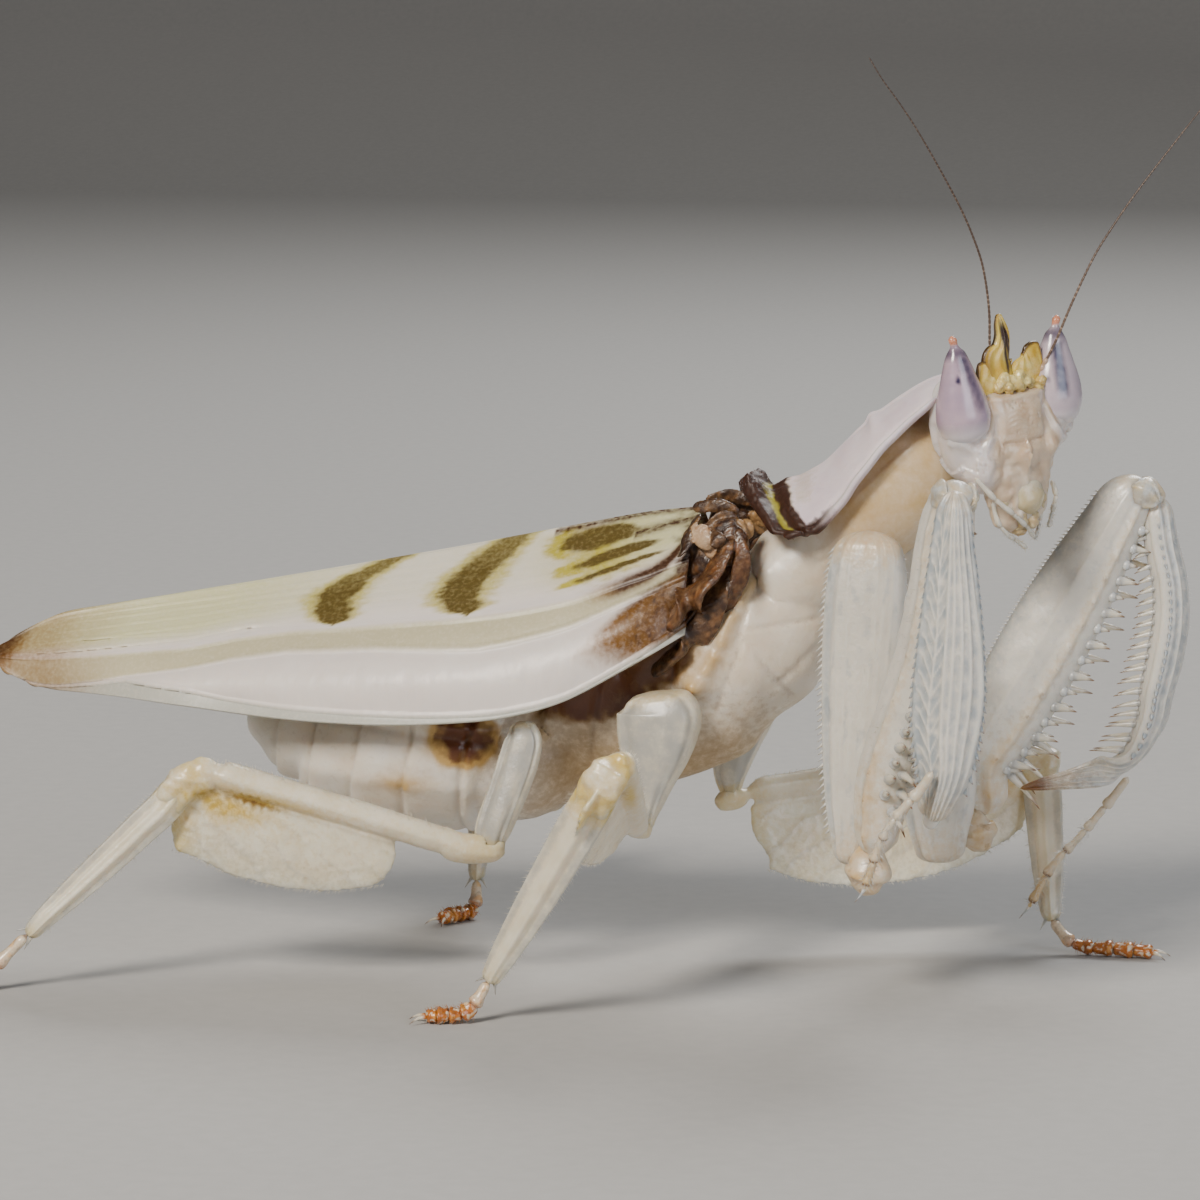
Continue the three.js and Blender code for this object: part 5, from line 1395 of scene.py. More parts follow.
def makeWalkingFemur(name, leg, start, knee, material, coxaLine, shinLine):
    # a round core, the broad petal that hangs from it, and the bends at hip and knee, as one skin
    node = name + "_femur"
    axis, lobe = unit(knee - start), unit(leg["lobe"])
    lobe = unit(lobe - axis * (lobe @ axis))
    across = np.cross(axis, lobe)
    reach = nodeCorners(node) @ axis
    levels = np.linspace(reach.min() + 0.25, reach.max() - 0.25, 26)
    cuts = nodeCuts([node], axis, levels)
    edges = np.array([(cut @ lobe).min() for cut in cuts])
    straight = np.polyval(np.polyfit(levels[4:-6], edges[4:-6], 1), levels)
    edges[-6:] = np.minimum(edges, straight + 0.15)[-6:]  # the knee's end doesn't bend down into the lobe
    core, coreHalf, petal, petalHalf = [], [], [], []
    for level, cut, edge in zip(levels, cuts, edges):
        down, side = cut @ lobe, cut @ across
        middle = side[down < max(edge, down.min()) + 1.2]
        half = min(0.92, np.ptp(middle) / 2 + 0.05)
        centre = axis * level + across * (middle.min() + middle.max()) / 2
        if level < knee @ axis + 0.5:
            core.append(centre + lobe * (edge + half))
            coreHalf.append([half * 1.02, half * 0.95])
        upper = edge + 0.8
        if down.max() - upper > 1.25 and level < knee @ axis + 0.9:
            petal.append(centre + lobe * (upper + down.max()) / 2)
            petalHalf.append([(down.max() - upper) / 2, 0.26])
    body = newBody()
    loft(body, core, coreHalf, lobe, 64, 160, (0.8, 0.9))
    hip = [coxaLine[-2] * 0.5 + coxaLine[-1] * 0.5, coxaLine[-1] + (0, 0, 0.25), core[0], core[2]]
    big = leg["hip"]
    loft(body, hip, [[big * 0.85, big * 0.8], [big, big * 0.9], [big, big * 0.9], [0.8, 0.75]], lobe, 48, 60,
         (0.6, 0.6))
    bend, shin = [core[-3], knee, shinLine[0], shinLine[1]], leg["shin"]
    loft(body, bend, [[0.85, 0.8], [shin * 0.98, 0.82], [shin, 0.78], [shin * 0.98, 0.5]], leg["broad"], 48, 60,
         (0.7, 0.5), square=0.62)
    if petal:  # its lower edge runs smoothly to the knee
        petal, petalHalf = np.array(petal), np.array(petalHalf)
        upper, lower = petal @ lobe - petalHalf[:, 0], petal @ lobe + petalHalf[:, 0]
        wider = np.array([lower[max(0, i - 2):i + 3].max() for i in range(len(lower))])
        wider = np.convolve(np.pad(wider, 2, "edge"), np.ones(5) / 5, "valid")
        petal += np.outer((upper + wider) / 2 - petal @ lobe, lobe)
        petalHalf[:, 0] = (wider - upper) / 2
    loft(body, petal, petalHalf, lobe, 110, 160, (1.4, 1.2))
    low = np.array([place @ lobe for place in core])
    reached = np.array([(place - start) @ axis for place in core])
    mesh = oneSkin(node + "_skin", body, 0.12, 5)
    points = meshPoints(mesh)
    run = (points - start) @ axis
    share = run / ((knee - start) @ axis)
    depth = points @ lobe - np.interp(run, reached, low)
    aside = (points - start) @ across
    fine, broad = grain(points, 0.35), grain(points, 1.4, 3)
    out = 0.03 * broad + 0.012 * fine + 0.14 * grain(points, 0.7, 6) * ramp(share, 0.93, 1.0)
    veins = bump((depth * 0.55 + 0.9 * share * 6 + 0.25 * broad) % 1, 0.5, 0.10) * ramp(depth, 1.0, 1.6)
    out += 0.05 * veins + 0.09 * bump(depth, 0.95, 0.16) + 0.07 * bump(depth, -0.1, 0.2)
    out -= 0.08 * np.abs(grain(points, 0.7, 8)) * ramp(depth, 1.2, 2.0)  # a little pitted
    moveOut(mesh, out)
    near = aside * -across[1] < 0.2  # the face with the markings
    serrated = np.abs((share * 34) % 1 - 0.5) * 0.5
    mark = bump(share, 0.78, 0.085) * bump(depth + serrated, 0.95, 0.34) * leg["mark"]
    tan = leg["tan"] * bump(share, 0.90, 0.16) * bump(depth, 1.7, 0.85) * (0.85 + 0.5 * fine)
    yellow = leg["yellow"] * (bump(depth, 0.5, 0.4) * bump(share, 0.72, 0.2) + 0.7 * bump(share, 1.0, 0.05))
    warm = np.maximum.reduce([yellow * 0.9, tan, 1.2 * mark])
    paintMasks(mesh, {"dark": (mark * 0.85 + 0.30 * tan) * (0.6 + 0.4 * near),
                      "warm": warm + 0.25 * (1 - ramp(share, 0.02, 0.14)) + 0.12,
                      "clear": 0.2 * ramp(depth, 2.2, 4.5) + 0.2 * veins})
    body = newBody(mesh)
    hairs(body, np.array(core), np.array(coreHalf), lobe, 260, (math.pi - 0.7, math.pi + 0.7), 0.26, 0.015, 0.6)
    if len(petal) > 3:
        hairs(body, np.array(petal), np.array(petalHalf), lobe, 200, (-0.12, 0.12), 0.2, 0.014, 0.4)
    finishPiece(node + "_skin", body, material, (node,))


def makeFoot(name, ankle, material):
    node = name + "_tarsus"
    corners = nodeCorners(node)
    away = np.linalg.norm((corners - ankle)[:, :2], axis=1)
    toe = corners[away.argmax()]
    way = unit((toe - ankle) * [1, 1, 0])
    side = np.cross([0, 0, 1], way)
    line, halves = stations(node, way, side, 8)
    line = np.vstack([ankle + (0, 0, 0.1), line[1:] + (0, 0, 0.03)])
    halves = np.vstack([[0.36, 0.36], halves[1:]])
    halves[1] = [0.4, 0.36]
    body = newBody()
    loft(body, line, halves, side, 40, 160, (0.3, 0.35),
         shape=segmented(5, (0.11, 0.8, 0.2), [(0.10, 0.0, 0.09), (0.10, 1.0, 0.05)], 0.05),
         paint=lambda share, angle, points: {
             "dark": 0.5 * bump((share * 5) % 1, 0.02, 0.08) + 0.3 * ramp(grain(points, 0.3), 0.1, 0.4),
             "clear": 0.9 * ramp(grain(points, 0.25, 5), 0.12, 0.4) * (share > 0.2) + 0.8 * (1 - ramp(share, 0.1, 0.3)),
             "warm": 0.5 * ramp(grain(points, 0.5, 2), 0, 0.4)})
    for turn in (-1, 1):
        spine(body, line[-1] + side * 0.22 * turn, way + side * 0.5 * turn + np.array([0, 0, 0.15]), 1.0, 0.12,
              bend=(0, 0, -0.45), dark=1.0, columns=10, rows=14)
    hairs(body, line, halves, side, 160, (0, 2 * math.pi), 0.24, 0.016, 0.4, span=(0.25, 0.98))
    addBits(body)
    for vert in body.verts:  # soles rest on the ground
        vert.co.z = max(vert.co.z, 0.02)
    finishPiece(name + "_foot", body, material, (node,))


walkFinish = cuticle("milky leg cuticle", walkLook)
footFinish = cuticle("amber foot pad", footLook)
for name in walking:
    makeWalkingLeg(name, walkFinish, footFinish)
print("walking legs ready")


# head, with its eyes, crown, simple eyes, mouthparts and antennae

head = {
    "voxel": 0.085,
    "softening": 18,
    "socketRim": 0.10,
    # masses joined to the capsule: routes as (forward, to the left, up) from the point between the
    # eyes, and half sizes (sideways, forward): two cheeks that carry the eyes, and the muzzle
    "masses": [
        ([(-0.5, -2.6, -4.9), (-0.45, -3.5, -3.5), (-0.40, -3.9, -1.8), (-0.45, -3.95, 0.0), (-0.6, -3.8, 1.3)],
         [[0.8, 0.8], [1.25, 1.3], [1.38, 1.36], [1.12, 1.05], [0.6, 0.5]]),
        ([(-0.4, 1.9, -4.6), (-0.3, 2.5, -3.4), (-0.25, 2.95, -1.9), (-0.35, 3.05, -0.2), (-0.5, 2.95, 1.1)],
         [[0.8, 0.8], [1.0, 1.2], [1.05, 1.2], [0.95, 0.95], [0.5, 0.5]]),
        ([(0.30, 0.1, -3.6), (0.40, -0.35, -5.4), (0.40, -0.35, -6.5), (0.50, -0.45, -7.4), (0.7, -0.4, -8.15)],
         [[2.45, 1.2], [2.30, 1.1], [2.1, 1.0], [1.85, 0.9], [1.4, 0.6]]),
        ([(0.1, -3.1, -2.6), (0.25, -3.1, -3.7), (0.3, -2.7, -4.7), (0.35, -2.1, -5.6)],
         [[0.8, 0.8], [1.15, 1.1], [1.15, 1.05], [0.9, 0.8]]),
        ([(0.50, -2.5, -4.8), (0.52, -2.4, -3.2), (0.50, -2.0, -1.8), (0.36, -1.7, -0.6)],
         [[1.0, 0.8], [1.1, 0.85], [0.95, 0.75], [0.6, 0.5]]),
        ([(0.66, 1.85, -4.4), (0.68, 1.8, -3.0), (0.62, 1.6, -1.8), (0.45, 1.45, -0.6)],
         [[0.8, 0.7], [0.9, 0.8], [0.75, 0.7], [0.55, 0.5]]),
        ([(0.55, -1.3, -3.6), (0.62, -0.2, -3.7), (0.58, 1.0, -3.6)], [[1.1, 0.8], [1.3, 0.85], [1.1, 0.8]]),
    ],
    # swellings: (forward, to the left, up) from the point between the eyes, size and height
    "swellings": [
        ((0.66, -3.06, -3.59), (0.8, 0.65, 0.55), 0.14), ((1.1, -1.89, -4.73), (0.9, 0.6, 0.6), 0.18),
        ((1.2, 1.75, -3.6), (0.9, 0.6, 0.6), 0.22), ((1.3, 1.35, -4.75), (0.9, 0.5, 0.55), 0.20),
        ((1.3, -0.75, -3.75), (0.9, 0.55, 0.5), 0.16), ((1.3, 0.45, -3.75), (0.9, 0.55, 0.5), 0.16),
        ((1.0, -0.7, -1.6), (0.9, 0.55, 0.9), 0.08), ((1.0, 0.6, -1.6), (0.9, 0.5, 0.9), 0.10),
        ((0.7, -1.5, -0.2), (0.8, 0.45, 0.6), 0.22), ((0.8, 1.2, 0.0), (0.8, 0.45, 0.6), 0.20),
        ((-0.3, -4.3, -2.4), (1.2, 0.8, 1.2), 0.16),
    ],
    # dark patches between the crown's parts: place, half size and strength
    "patches": [
        ((1.1, -0.1, 0.05), (0.7, 0.35, 0.3), 1.0), ((0.54, -0.55, 1.0), (0.5, 0.3, 0.3), 0.9),
        ((0.6, 0.75, 0.75), (0.5, 0.22, 0.35), 0.7), ((0.5, -1.1, 0.35), (0.5, 0.2, 0.3), 0.6),
    ],
    "down": 420,
    # ridges and grooves: from, to, width, height
    "folds": [
        ((1.24, -1.95, -2.95), (1.3, -0.1, -3.12), 0.10, -0.10), ((1.3, -0.1, -3.12), (1.2, 1.5, -2.95), 0.10, -0.10),
        ((1.24, -1.95, -2.78), (1.2, 1.5, -2.76), 0.14, 0.04),
        ((0.6, -1.25, -0.55), (0.7, 1.05, -0.55), 0.14, 0.10),
        ((0.5, -3.4, -3.1), (1.1, -2.1, -3.9), 0.16, -0.03), ((1.3, -1.2, -4.3), (1.3, 0.9, -4.45), 0.16, -0.06),
        ((1.2, -1.6, -5.05), (1.3, -0.2, -4.95), 0.13, -0.12), ((1.3, -0.2, -4.95), (1.2, 1.1, -5.15), 0.13, -0.12),
        ((1.1, -1.45, -5.2), (1.2, -1.4, -7.0), 0.16, -0.16), ((1.2, 1.0, -5.3), (1.2, 0.95, -7.0), 0.16, -0.14),
        ((0.9, -2.0, -6.2), (1.2, -1.0, -7.7), 0.13, -0.10), ((1.2, -1.0, -7.7), (1.3, 0.4, -7.8), 0.12, -0.12),
    ],
}
# waxy face cuticle over pale tissue: milky beige with a soft shine
headLook = {
    "pale": "#D9C6AE", "shade": "#CBB092", "warm": "#BE8F58", "dark": "#5E360E", "clear": "#DFD6D2",
    "mottle": 1.0, "speck": 0.18, "ragged": 0.2, "wrinkle": 0.13, "relief": 0.35, "rough": 0.3,
    "milky": 0.6, "depth": 0.8, "wax": 0.65,
}
# The cornea is a hard clear shell of tiny lenses over pigment, so it shines; the lenses are drawn
# twice as wide as the real thirtieth of a millimetre, or they would not show.
eyeLook = {
    "pale": "#C0A8B4", "shade": "#AB96AA", "warm": "#DB8F6E", "dark": "#2A2448", "clear": "#D8D0D0",
    "mottle": 1.4, "speck": 0.10, "ragged": 0.08, "wrinkle": 0.06, "relief": 0.22, "rough": 0.2,
    "milky": 0.3, "depth": 0.5, "wax": 0.9,
}
# dry horny blades, thin enough to glow yellow, with dark tanned edges
crownLook = {
    "pale": "#E4CB66", "shade": "#D0A62E", "warm": "#8F6A10", "dark": "#301604", "clear": "#EFE4A8",
    "mottle": 0.7, "speck": 0.14, "ragged": 0.18, "wrinkle": 0.12, "relief": 0.35, "rough": 0.28,
    "milky": 0.35, "depth": 0.4, "wax": 0.6,
}
# thin cuticle of the mouthparts: nearly clear and slightly wet
mouthLook = {
    "pale": "#CFC19E", "shade": "#BFAE84", "warm": "#B8925C", "dark": "#55300F", "clear": "#E4DFD6",
    "mottle": 0.6, "speck": 0.14, "ragged": 0.15, "wrinkle": 0.12, "relief": 0.3, "rough": 0.24,
    "milky": 0.6, "depth": 0.6, "wax": 0.6,
}
# dry thread of tanned beads, paler at each joint
antennaLook = {
    "pale": "#6A5648", "shade": "#574438", "warm": "#B49A84", "dark": "#2C1F1A", "clear": "#C9BBAE",
    "mottle": 0.8, "speck": 0.1, "ragged": 0.1, "wrinkle": 0.08, "relief": 0.2, "rough": 0.4,
    "milky": 0.1, "depth": 0.2, "wax": 0.2,
}


# each eye's dark stripe and pale streak, from, to and width, and its dark spots, all from the point
# between the eyes, then how dark the stripe is and how clear the whole eye
eyeMarks = {
    "right": {
        "stripe": ((0.35, -3.85, 2.7), (1.15, -3.25, -1.0), 0.42),
        "pale": ((1.1, -2.75, 1.0), (1.3, -2.65, -1.4), 0.28),
        "spots": [((0.42, -4.29, 1.07), (0.6, 0.12, 0.27), 1.0), ((0.3, -4.4, 1.0), (0.5, 0.09, 0.13), 0.8),
                  ((0.45, -4.38, 0.45), (0.3, 0.07, 0.07), 0.6)],
        "dark": 0.92, "clear": 0,
    },
    "left": {
        "stripe": ((0.75, 3.1, 2.4), (1.26, 2.85, -1.2), 0.40),
        "pale": ((0.9, 2.4, 1.6), (1.1, 2.3, -0.8), 0.30),
        "spots": [((0.95, 2.2, 0.16), (0.5, 0.12, 0.28), 0.8)],
        "dark": 1.15, "clear": 0.4,
    },
}


def headFrame():
    ways = []
    for name in ("eye_left", "eye_right"):
        top, low = nodeEnds(name)
        ways.append(top - low)
    left = unit(nodeMiddle("eye_left") - nodeMiddle("eye_right"))
    up = ways[0] + ways[1]
    up = unit(up - left * (up @ left))
    middle = (nodeMiddle("eye_left") + nodeMiddle("eye_right")) / 2
    return middle, np.array([np.cross(left, up), left, up])


headMiddle, headAxes = headFrame()


def onHead(face, left, up):
    return headMiddle + np.array([face, left, up]) @ headAxes


def headRoute(places):
    return np.array([onHead(*place) for place in places])


def fromHead(points):
    # places as (forward, to the left, up) from the point between the eyes
    return (points - headMiddle) @ headAxes.T


def makeEye(name, material):
    node, side = "eye_" + name, 1 if name == "left" else -1
    top, low = nodeEnds(node)
    line, halves = stations(node, top - low, headAxes[0], 14)
    share = np.linspace(0, 1, 14)
    halves[:, 1] *= 1.13  # fuller across the face, drawn out towards the tip
    halves *= (1 - 0.10 * ramp(share, 0.35, 0.7) - 0.34 * ramp(share, 0.80, 0.97))[:, None]
    line += (line[-1] - line) * 0.012  # its foot sits a little higher than the socket's
    line += headAxes[1] * side * (0.14 * bump(share, 0.5, 0.3) + 0.12 * ramp(share, 0.85, 1.0))[:, None]
    body = newBody()
    loft(body, line, halves, headAxes[0], 128, 220, (1.8, 0.3))
    points = fromHead(np.array([vert.co for vert in body.verts]))
    drop = fromHead(top)[2] - points[:, 2]
    marks = eyeMarks[name]
    stripe, pale = crease(points, *marks["stripe"]), crease(points, *marks["pale"])
    spot = sum(strength * blob(points, centre, size) for centre, size, strength in marks["spots"])
    knob = 1 - ramp(drop, 0.36, 0.6)
    shade = 0.85 * bump(drop, 0.95, 0.42)
    low = 1 - ramp(points[:, 2], -2.5, -0.9)
    fine = grain(points, 0.35)
    dark = np.maximum.reduce([marks["dark"] * stripe * (0.9 + 0.3 * fine), 0.8 * shade, 1.1 * spot])
    clear = np.maximum(0.6 * pale, 0.85 * low)
    paintVerts(body, body.verts, {"dark": np.minimum(dark * (1 - 0.8 * low) * (1 - knob), 1), "warm": knob,
                                  "clear": np.clip(clear, marks["clear"], 1)})
    swell = 0.09 * bump(drop, 0.22, 0.2) - 0.05 * bump(drop, 0.65, 0.2)
    for vert, move in zip(body.verts, outward(body) * swell[:, None]):
        vert.co = vert.co + Vector(move)
    for _ in range(26):
        turn = random.uniform(0, 2 * math.pi)
        foot, out, along = skinPoint(line, halves, headAxes[0], random.uniform(0.95, 0.985), turn)
        tooth(body, foot, out + along, 0.12, 0.02)
    finishPiece("compound_eye_" + name, body, material, (node,))


def makeHeadSkin(material):
    body = newBody()
    line, halves = stations("head_capsule", -headAxes[2], headAxes[1], 14)
    loft(body, line, halves, headAxes[1], 110, 130, (1.6, 1.2))
    for route, sizes in head["masses"]:
        loft(body, headRoute(route), sizes, headAxes[1], 64, 70, (1.0, 1.0))
    mesh = oneSkin("head_skin", body, head["voxel"], head["softening"])
    world = meshPoints(mesh)
    points = fromHead(world)
    face, left, up = points.T
    fine, broad = grain(points, 0.22), grain(points, 0.8, 3)
    facing = ramp(face, -0.4, 0.5)
    out = 0.02 * broad + 0.010 * fine
    for centre, size, height in head["swellings"]:
        out += height * blob(points, centre, size)
    for start, end, width, height in head["folds"]:
        out += height * crease(points, start, end, width)
    wrinkles = np.sin(up * 24 + 2.2 * np.sin(left * 3.1) + 3 * broad) * bump(left + 0.1, 0, 1.4) * bump(up, -1.7, 1.0)
    out += 0.018 * wrinkles * facing
    near, before = np.full(len(points), 9.0), meshNormals(mesh)
    behindEye = np.array([0.80, -0.58, 0.14]) @ headAxes
    for name in ("eye_left", "eye_right"):
        corners = nodeCorners(name)
        low, high = corners.min(0), corners.max(0)
        shell = bmesh.new()
        shell.from_mesh(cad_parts[name].data)
        tree = BVHTree.FromBMesh(shell)
        shell.free()
        for index in np.where(((world > low - 1.6) & (world < high + 1.6)).all(1))[0]:
            place, way, _, away = tree.find_nearest(Vector(world[index]) * mm)
            near[index] = min(near[index], away / mm)
            over = (world[index] - np.array(place) / mm) @ np.array(way)  # the collar stays below the eye
            cover = ramp(before[index] @ np.array(way), 0.0, 0.7) * ramp(over, -0.15, 0.0)
            cover *= ramp(np.array(way) @ behindEye, 0.0, 0.35)  # behind the eye the collar stands out
            out[index] -= cover * min(over + 0.04, 0.44 * max(0, 1.4 - max(over, 0.4)))
    out += 0.30 * grain(points, 0.8, 11) ** 2 * facing * (1 - 0.7 * ramp(up, -3.4, -3.0))  # lumpy below the frons
    lower = 1 - ramp(up, -0.6, 0.9)
    outer = 0.15 + 0.85 * ramp(np.abs(left + 0.1), 1.9, 2.6)
    out += head["socketRim"] * bump(near, 0.30, 0.16) * (0.4 + 0.6 * lower) * outer - 0.14 * (1 - ramp(near, 0.0, 0.2))
    foot = (1 - ramp(up, -3.2, -2.2)) * ramp(up, -4.4, -3.4)  # the face rises round the eye's foot
    out += 0.12 * bump(near, 0.15, 0.35) * foot
    moveOut(mesh, out)
    body = newBody(mesh)
    body.verts.ensure_lookup_table()
    rim = [body.verts[index] for index in np.where(near < 0.9)[0]]
    for _ in range(10):  # the socket's edge runs smoothly round the eye
        bmesh.ops.smooth_vert(body, verts=rim, factor=0.5, use_axis_x=True, use_axis_y=True, use_axis_z=True)
    body.to_mesh(mesh)
    body.free()
    back = 0.85 * ramp(up, -0.5, 0.1) * ramp(face, -0.4, 0.3) * (1 - ramp(np.abs(left), 1.9, 2.5))
    setPoints(mesh, meshPoints(mesh) - np.outer(back, headAxes[0]) - np.outer(0.3 * back, headAxes[2]))
    paintHead(mesh, face, left, up, near)
    body = newBody(mesh)
    world, normals = meshPoints(mesh), meshNormals(mesh)
    for index in random.sample(range(len(world)), head["down"]):
        if normals[index] @ headAxes[0] > -0.3 and near[index] > 0.3:
            tooth(body, world[index], normals[index] + headAxes[2] * 0.4, 0.16, 0.010)
    finishPiece("head_skin", body, material, ("head_capsule",))


def paintHead(mesh, face, left, up, near):
    # `face`, `left` and `up` are the places on the unsculpted head, `near` how close the eyes are to them
    places = np.stack([face, left, up], 1)
    fine, broad = grain(places, 0.22), grain(places, 0.8, 3)
    facing = ramp(face, -0.4, 0.5)
    points = fromHead(meshPoints(mesh))
    lip = bump(left + 0.15, 0, 1.6) * (1 - ramp(up, -5.6, -4.9)) * ramp(face, 0.3, 1.0)
    frons = bump(left + 0.15, 0, 1.9) * ramp(up, -5.0, -3.4) * (1 - ramp(up, -0.9, -0.2)) * facing
    crownBase = ramp(up, -0.3, 0.5) * facing * (1 - ramp(np.abs(left), 1.6, 2.4))
    patches = sum(strength * blob(points, centre, size) for centre, size, strength in head["patches"])
    # painted shade: the sunken grooves of the face are darkened and warmed
    paintedGrooveShade = sum(crease(points, start, end, 0.12) for start, end, _, height in head["folds"] if height < 0)
    paintMasks(mesh, {
        "dark": 0.8 * patches * (0.8 + 0.6 * fine) + 0.12 * paintedGrooveShade,
        "warm": 0.28 * frons * (0.8 + broad) + 0.5 * crownBase + 0.12 * paintedGrooveShade + 0.25 * bump(near, 0.05, 0.12),
        "clear": 0.85 * ramp(np.abs(left + 0.1), 2.0, 3.2) + 0.5 * bump(near, 0.4, 0.25) + 0.25 * lip,
    })


crownLobe = {  # across the face from the horn to the eye, with half heights and half thicknesses
    "route": [(0.05, 0.10, 1.00), (0.10, 0.8, 0.75), (0.10, 1.45, 0.80), (0.05, 2.05, 1.10), (0.0, 2.50, 1.20)],
    "halves": [[0.3, 0.14], [0.90, 0.2], [1.18, 0.2], [1.22, 0.2], [0.75, 0.14]],
}


crownHorn = {  # from its foot to its tip: place across and up, half width, half thickness
    "route": [(-0.20, -0.3), (-0.38, 0.35), (-0.75, 1.0), (-0.85, 1.65), (-0.50, 2.3), (-0.36, 2.95), (-0.45, 3.6),
              (-0.52, 4.22)],
    "halves": [[0.25, 0.2], [0.6, 0.3], [1.0, 0.32], [1.05, 0.3], [0.62, 0.28], [0.50, 0.25], [0.37, 0.2],
               [0.14, 0.1]],
    "stripes": [((-0.56, 3.9), (-0.22, 0.5), 0.13), ((-0.36, 3.8), (0.06, 0.8), 0.12),
                ((-0.2, 3.3), (0.18, 1.6), 0.05)],
}


def makeCrown(material):
    # the central horn: a pale leaf with dark stripes, its golden side sweeping down to the eye
    body = newBody()

    def stripes(share, angle, points):
        flat = fromHead(points) * [0, 1, 1]
        marks = sum(crease(flat, (0, *start), (0, *end), width) for start, end, width in crownHorn["stripes"])
        rim = bump(np.cos(angle), -1.0, 0.10) + 0.5 * bump(np.cos(angle), 1.0, 0.05)
        return {"dark": np.maximum(marks, 0.85 * rim * ramp(share, 0.2, 0.4)) * (np.sin(angle) < 0.6),
                "warm": 0.85 * ramp(-flat[:, 1], 0.9, 1.9) + 0.6 * ramp(share, 0.94, 1)
                + 0.5 * (1 - ramp(share, 0.1, 0.3)),
                "clear": 0.55 * bump(flat[:, 1], -0.42 - 0.1 * share.mean(), 0.12) * ramp(share, 0.3, 0.5)}

    loft(body, [onHead(0.0, *place) for place in crownHorn["route"]], crownHorn["halves"], headAxes[1], 110, 170,
         (0.3, 0.15), paint=stripes,
         shape=lambda share, angle: 0.06 * bump(np.abs(np.cos(angle)), 0.97, 0.05) + 0.03 * np.cos(9 * np.cos(angle)))
    finishPiece("crown_horn_blade", body, material, ("crown_horn",))
    for name, side in (("left", 1), ("right", -1)):  # a leaning triangle with a thick dark rim
        body = newBody()
        route = np.array(crownLobe["route"]) * [1, side, 1] + [0, 0, 0 if side > 0 else -0.35]
        halves = np.array(crownLobe["halves"]) * (1 if side > 0 else 0.8)
        line = headRoute(route)

        def borders(share, angle, points):
            rim = np.abs(np.cos(angle))
            top = (np.cos(angle) > 0) * ramp(share, 0.15, 0.3)
            return {"dark": 0.9 * np.maximum(bump(rim, 1.0, 0.08) * top, bump(share, 0.96, 0.06)),
                    "warm": np.maximum(0.8 * bump(rim, 0.93, 0.08) * top, 0.8 * bump(share, 0.90, 0.06)),
                    "clear": 0.45 * bump(rim, 0.2, 0.3) * bump(share, 0.5, 0.25)}

        loft(body, line, halves, headAxes[2], 96, 120, (0.3, 0.25), paint=borders,
             shape=lambda share, angle: 0.07 * bump(np.abs(np.cos(angle)), 0.97, 0.06) + 0.015 * np.sin(share * 30))
        finishPiece("crown_lobe_blade_" + name, body, material, ("crown_lobe_" + name,))


def makeOcelli(material):
    # three simple eyes and the blunt knobs round them, run together into one clear lump
    body = newBody()
    beads = (((0.30, -0.72, 0.45), 0.42), ((0.45, -0.20, 0.40), 0.34), ((0.42, 0.34, 0.55), 0.36),
             ((0.45, 0.80, 0.20), 0.36), ((0.35, -1.15, 0.10), 0.34), ((0.70, 0.10, 0.10), 0.30),
             ((0.42, 2.00, -0.05), 0.36), ((0.55, 1.60, -0.30), 0.32), ((0.60, -0.55, -0.05), 0.36),
             ((0.30, 1.20, -0.05), 0.36), ((0.45, 0.25, -0.10), 0.40))
    for centre, size in beads:
        bmesh.ops.create_uvsphere(body, u_segments=24, v_segments=18, radius=size,
                                  matrix=Matrix.Translation(Vector(onHead(*centre))))
    mesh = oneSkin("ocelli_knobs", body, 0.06, 7)
    points = meshPoints(mesh)
    moveOut(mesh, 0.10 * grain(points, 0.35) + 0.04 * grain(points, 0.16, 3))
    height = (points - headMiddle) @ headAxes[2]
    paintMasks(mesh, {"warm": 0.12 + 0.35 * (1 - ramp(height, -0.1, 0.5)) + 0.5 * grain(points, 0.3, 8),
                      "dark": 0.3 * ramp(grain(points, 0.35, 12), 0.1, 0.4), "clear": np.full(len(points), 0.55)})
    body = newBody(mesh)
    for _ in range(60):
        centre, size = random.choice(beads)
        way = unit(np.array([random.gauss(0, 1), random.gauss(0, 1), random.gauss(0.6, 1)]) + headAxes[0] * 0.8)
        tooth(body, onHead(*centre) + way * size * 0.95, way, 0.13, 0.02)
    finishPiece("ocelli_knobs", body, material)


upperLip = {
    "route": [(0.60, -0.1, -4.9), (0.98, -0.15, -5.7), (1.12, -0.2, -6.5), (0.95, -0.25, -7.4)],
    "halves": [[0.8, 0.5], [1.05, 0.66], [1.06, 0.70], [0.7, 0.5]],
}


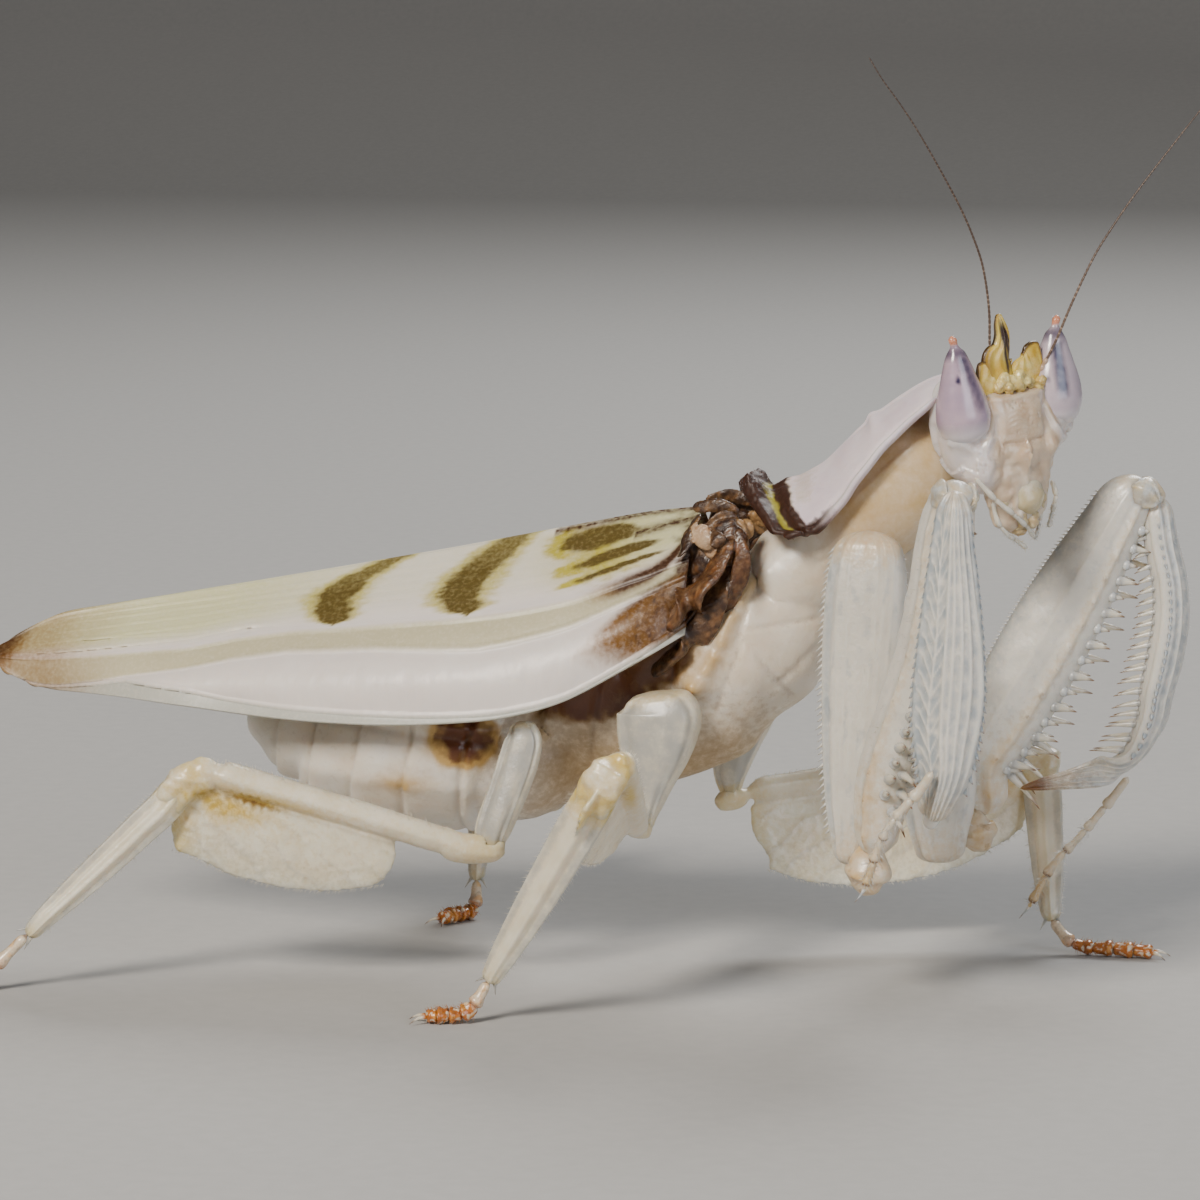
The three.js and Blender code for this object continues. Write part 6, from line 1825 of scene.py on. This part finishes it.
def makeMouth(material):
    body = newBody()
    line, halves = stations("mandibles", -headAxes[2], headAxes[1], 6)
    loft(body, line, halves * 0.95, headAxes[1], 40, 50, (0.8, 0.8),
         shape=lambda share, angle: 0.08 * np.cos(4 * angle) * np.sin(share * math.pi),
         paint=lambda share, angle, points: {"warm": 0.5 + 0.3 * grain(points, 0.4),
                                             "dark": 0.5 * bump(share, 0.55, 0.06)})
    loft(body, headRoute(upperLip["route"]), upperLip["halves"], headAxes[1], 72, 90, (0.9, 0.8),
         shape=lambda share, angle: -0.05 * bump(share, 0.2, 0.04) + 0.02 * np.sin(share * 22 + 2 * np.cos(angle)),
         paint=lambda share, angle, points: {"clear": 0.4 * bump(share, 0.3, 0.2), "warm": 0.25 * ramp(share, 0.85, 1)})
    # jaw halves beside the upper lip and the lower lip with its two petals
    jaws = (
        ([(0.3, -2.1, -5.4), (0.75, -1.7, -6.3), (1.1, -1.0, -7.2)], (0.55, 0.5, 0.3)),
        ([(0.4, 1.3, -5.4), (0.75, 1.05, -6.3), (1.1, 0.5, -7.2)], (0.5, 0.45, 0.3)),
        ([(0.6, -1.0, -6.4), (1.0, -0.8, -7.2), (1.3, -0.7, -8.0)], (0.5, 0.5, 0.26)),
        ([(0.6, 0.3, -6.4), (1.0, 0.1, -7.2), (1.2, 0.0, -8.2)], (0.5, 0.5, 0.3)),
        ([(0.5, -0.9, -7.2), (0.7, -0.6, -7.9), (0.8, -0.35, -8.5)], (0.5, 0.6, 0.3)),
    )
    for route, sizes in jaws:
        loft(body, headRoute(route), [[size, size * 0.75] for size in sizes], headAxes[1], 28, 40,
             (0.4, 0.3), shape=lambda share, angle: 0.03 * np.sin(share * 30 + 2 * angle),
             paint=lambda share, angle, points: {"warm": 0.35 + 0.4 * grain(points, 0.4),
                                                 "dark": 0.25 * ramp(share, 0.85, 1.0)})
    finishPiece("jaws_and_lower_lip", body, material, ("mandibles", "clypeus"))


palps = [
    {"route": [(1.2, -4.0, -4.5), (1.5, -2.9, -5.9), (1.6, -1.75, -6.95), (1.4, -0.71, -7.85), (1.1, 0.12, -8.7)],
     "size": 0.14, "joints": 4},
    {"route": [(0.7, -2.44, -6.2), (0.8, -2.24, -7.4), (0.8, -1.63, -8.2), (0.8, -0.9, -8.8), (0.8, -0.23, -9.35)],
     "size": 0.125, "joints": 3},
    {"route": [(0.6, 2.1, -5.8), (0.7, 2.25, -6.7), (0.6, 2.0, -7.6), (0.6, 1.66, -8.5)], "size": 0.13, "joints": 3},
    {"route": [(0.4, 0.9, -6.6), (0.6, 1.1, -7.5), (0.6, 0.9, -8.3), (0.6, 0.5, -9.0)], "size": 0.11, "joints": 2},
]


def makePalps(material):
    body = newBody()
    for palp in palps:
        line = headRoute(palp["route"])
        halves = np.array([[palp["size"], palp["size"]]] * len(line)) * np.linspace(1.1, 0.8, len(line))[:, None]
        pinches = [(0.04, 0.02, 0.05), (0.04, 0.99, 0.03)]
        loft(body, line, halves, headAxes[1], 20, 90, (0.2, 0.25),
             shape=segmented(palp["joints"], (0.045, 0.75, 0.2), pinches),
             paint=lambda share, angle, points, palp=palp: {
                 "clear": 0.7, "warm": 0.4 * bump((share * palp["joints"]) % 1, 0.0, 0.08)})
        hairs(body, line, halves, headAxes[1], 110, (0, 2 * math.pi), 0.22, 0.013, 0.5, span=(0.45, 0.99))
    finishPiece("palp_set", body, material,
                ("maxillary_palp_left", "maxillary_palp_right", "labial_palp_left", "labial_palp_right"))


antenna = {
    "root": 0.085, "tip": 0.032, "beads": 78,
    "roots": {"left": (0.25, 2.35, 0.75), "right": (-0.55, -0.85, 0.9)},
}


def makeAntenna(name, material):
    # a bead-like chain of short segments on a thick base
    node = "antenna_" + name
    top, low = nodeEnds(node)
    line, _ = stations(node, top - low, (0, 1, 0), 14)
    body = newBody()
    root = onHead(*antenna["roots"][name])
    line += (root - line[0]) * (np.clip(1 - np.linspace(0, 1, len(line)) * 2.2, 0, 1) ** 2)[:, None]
    line = np.vstack([line[0] - unit(line[1] - line[0]) * 0.45, line])
    size = np.linspace(antenna["root"], antenna["tip"], len(line))
    halves = np.stack([size, size], 1)

    def beads(share, angle):
        part = (share * antenna["beads"]) % 1
        return 0.016 * np.sin(math.pi * part) - 0.012

    loft(body, line, halves, (0, 1, 0), 8, antenna["beads"] * 6, (0.1, 0.1), shape=beads,
         paint=lambda share, angle, points: {"warm": 0.8 * bump((share * antenna["beads"]) % 1, 0.02, 0.16),
                                             "dark": 0.5 * ramp(share, 0.1, 0.6)})
    for place, size in ((0.1, 0.21), (0.5, 0.16)):
        way = unit(line[1] - line[0])
        foot = line[0] + way * place
        loft(body, [foot, foot + way * 0.25, foot + way * 0.5],
             [[size * 0.8, size * 0.8], [size, size], [size * 0.6, size * 0.6]], (0, 1, 0), 24, 24, (0.15, 0.15),
             paint=lambda share, angle, points: {"warm": 0.8})
    finishPiece("antenna_chain_" + name, body, material, (node,))


eyeFinish = cuticle("glossy eye cornea", eyeLook)
for name in ("left", "right"):
    makeEye(name, eyeFinish)
makeHeadSkin(cuticle("waxy face cuticle", headLook))
crownFinish = cuticle("horny crown cuticle", crownLook)
makeCrown(crownFinish)
mouthFinish = cuticle("thin mouthpart cuticle", mouthLook)
makeOcelli(crownFinish)
makeMouth(mouthFinish)
makePalps(mouthFinish)
antennaFinish = cuticle("dark antenna cuticle", antennaLook)
for name in ("left", "right"):
    makeAntenna(name, antennaFinish)
print("head ready")
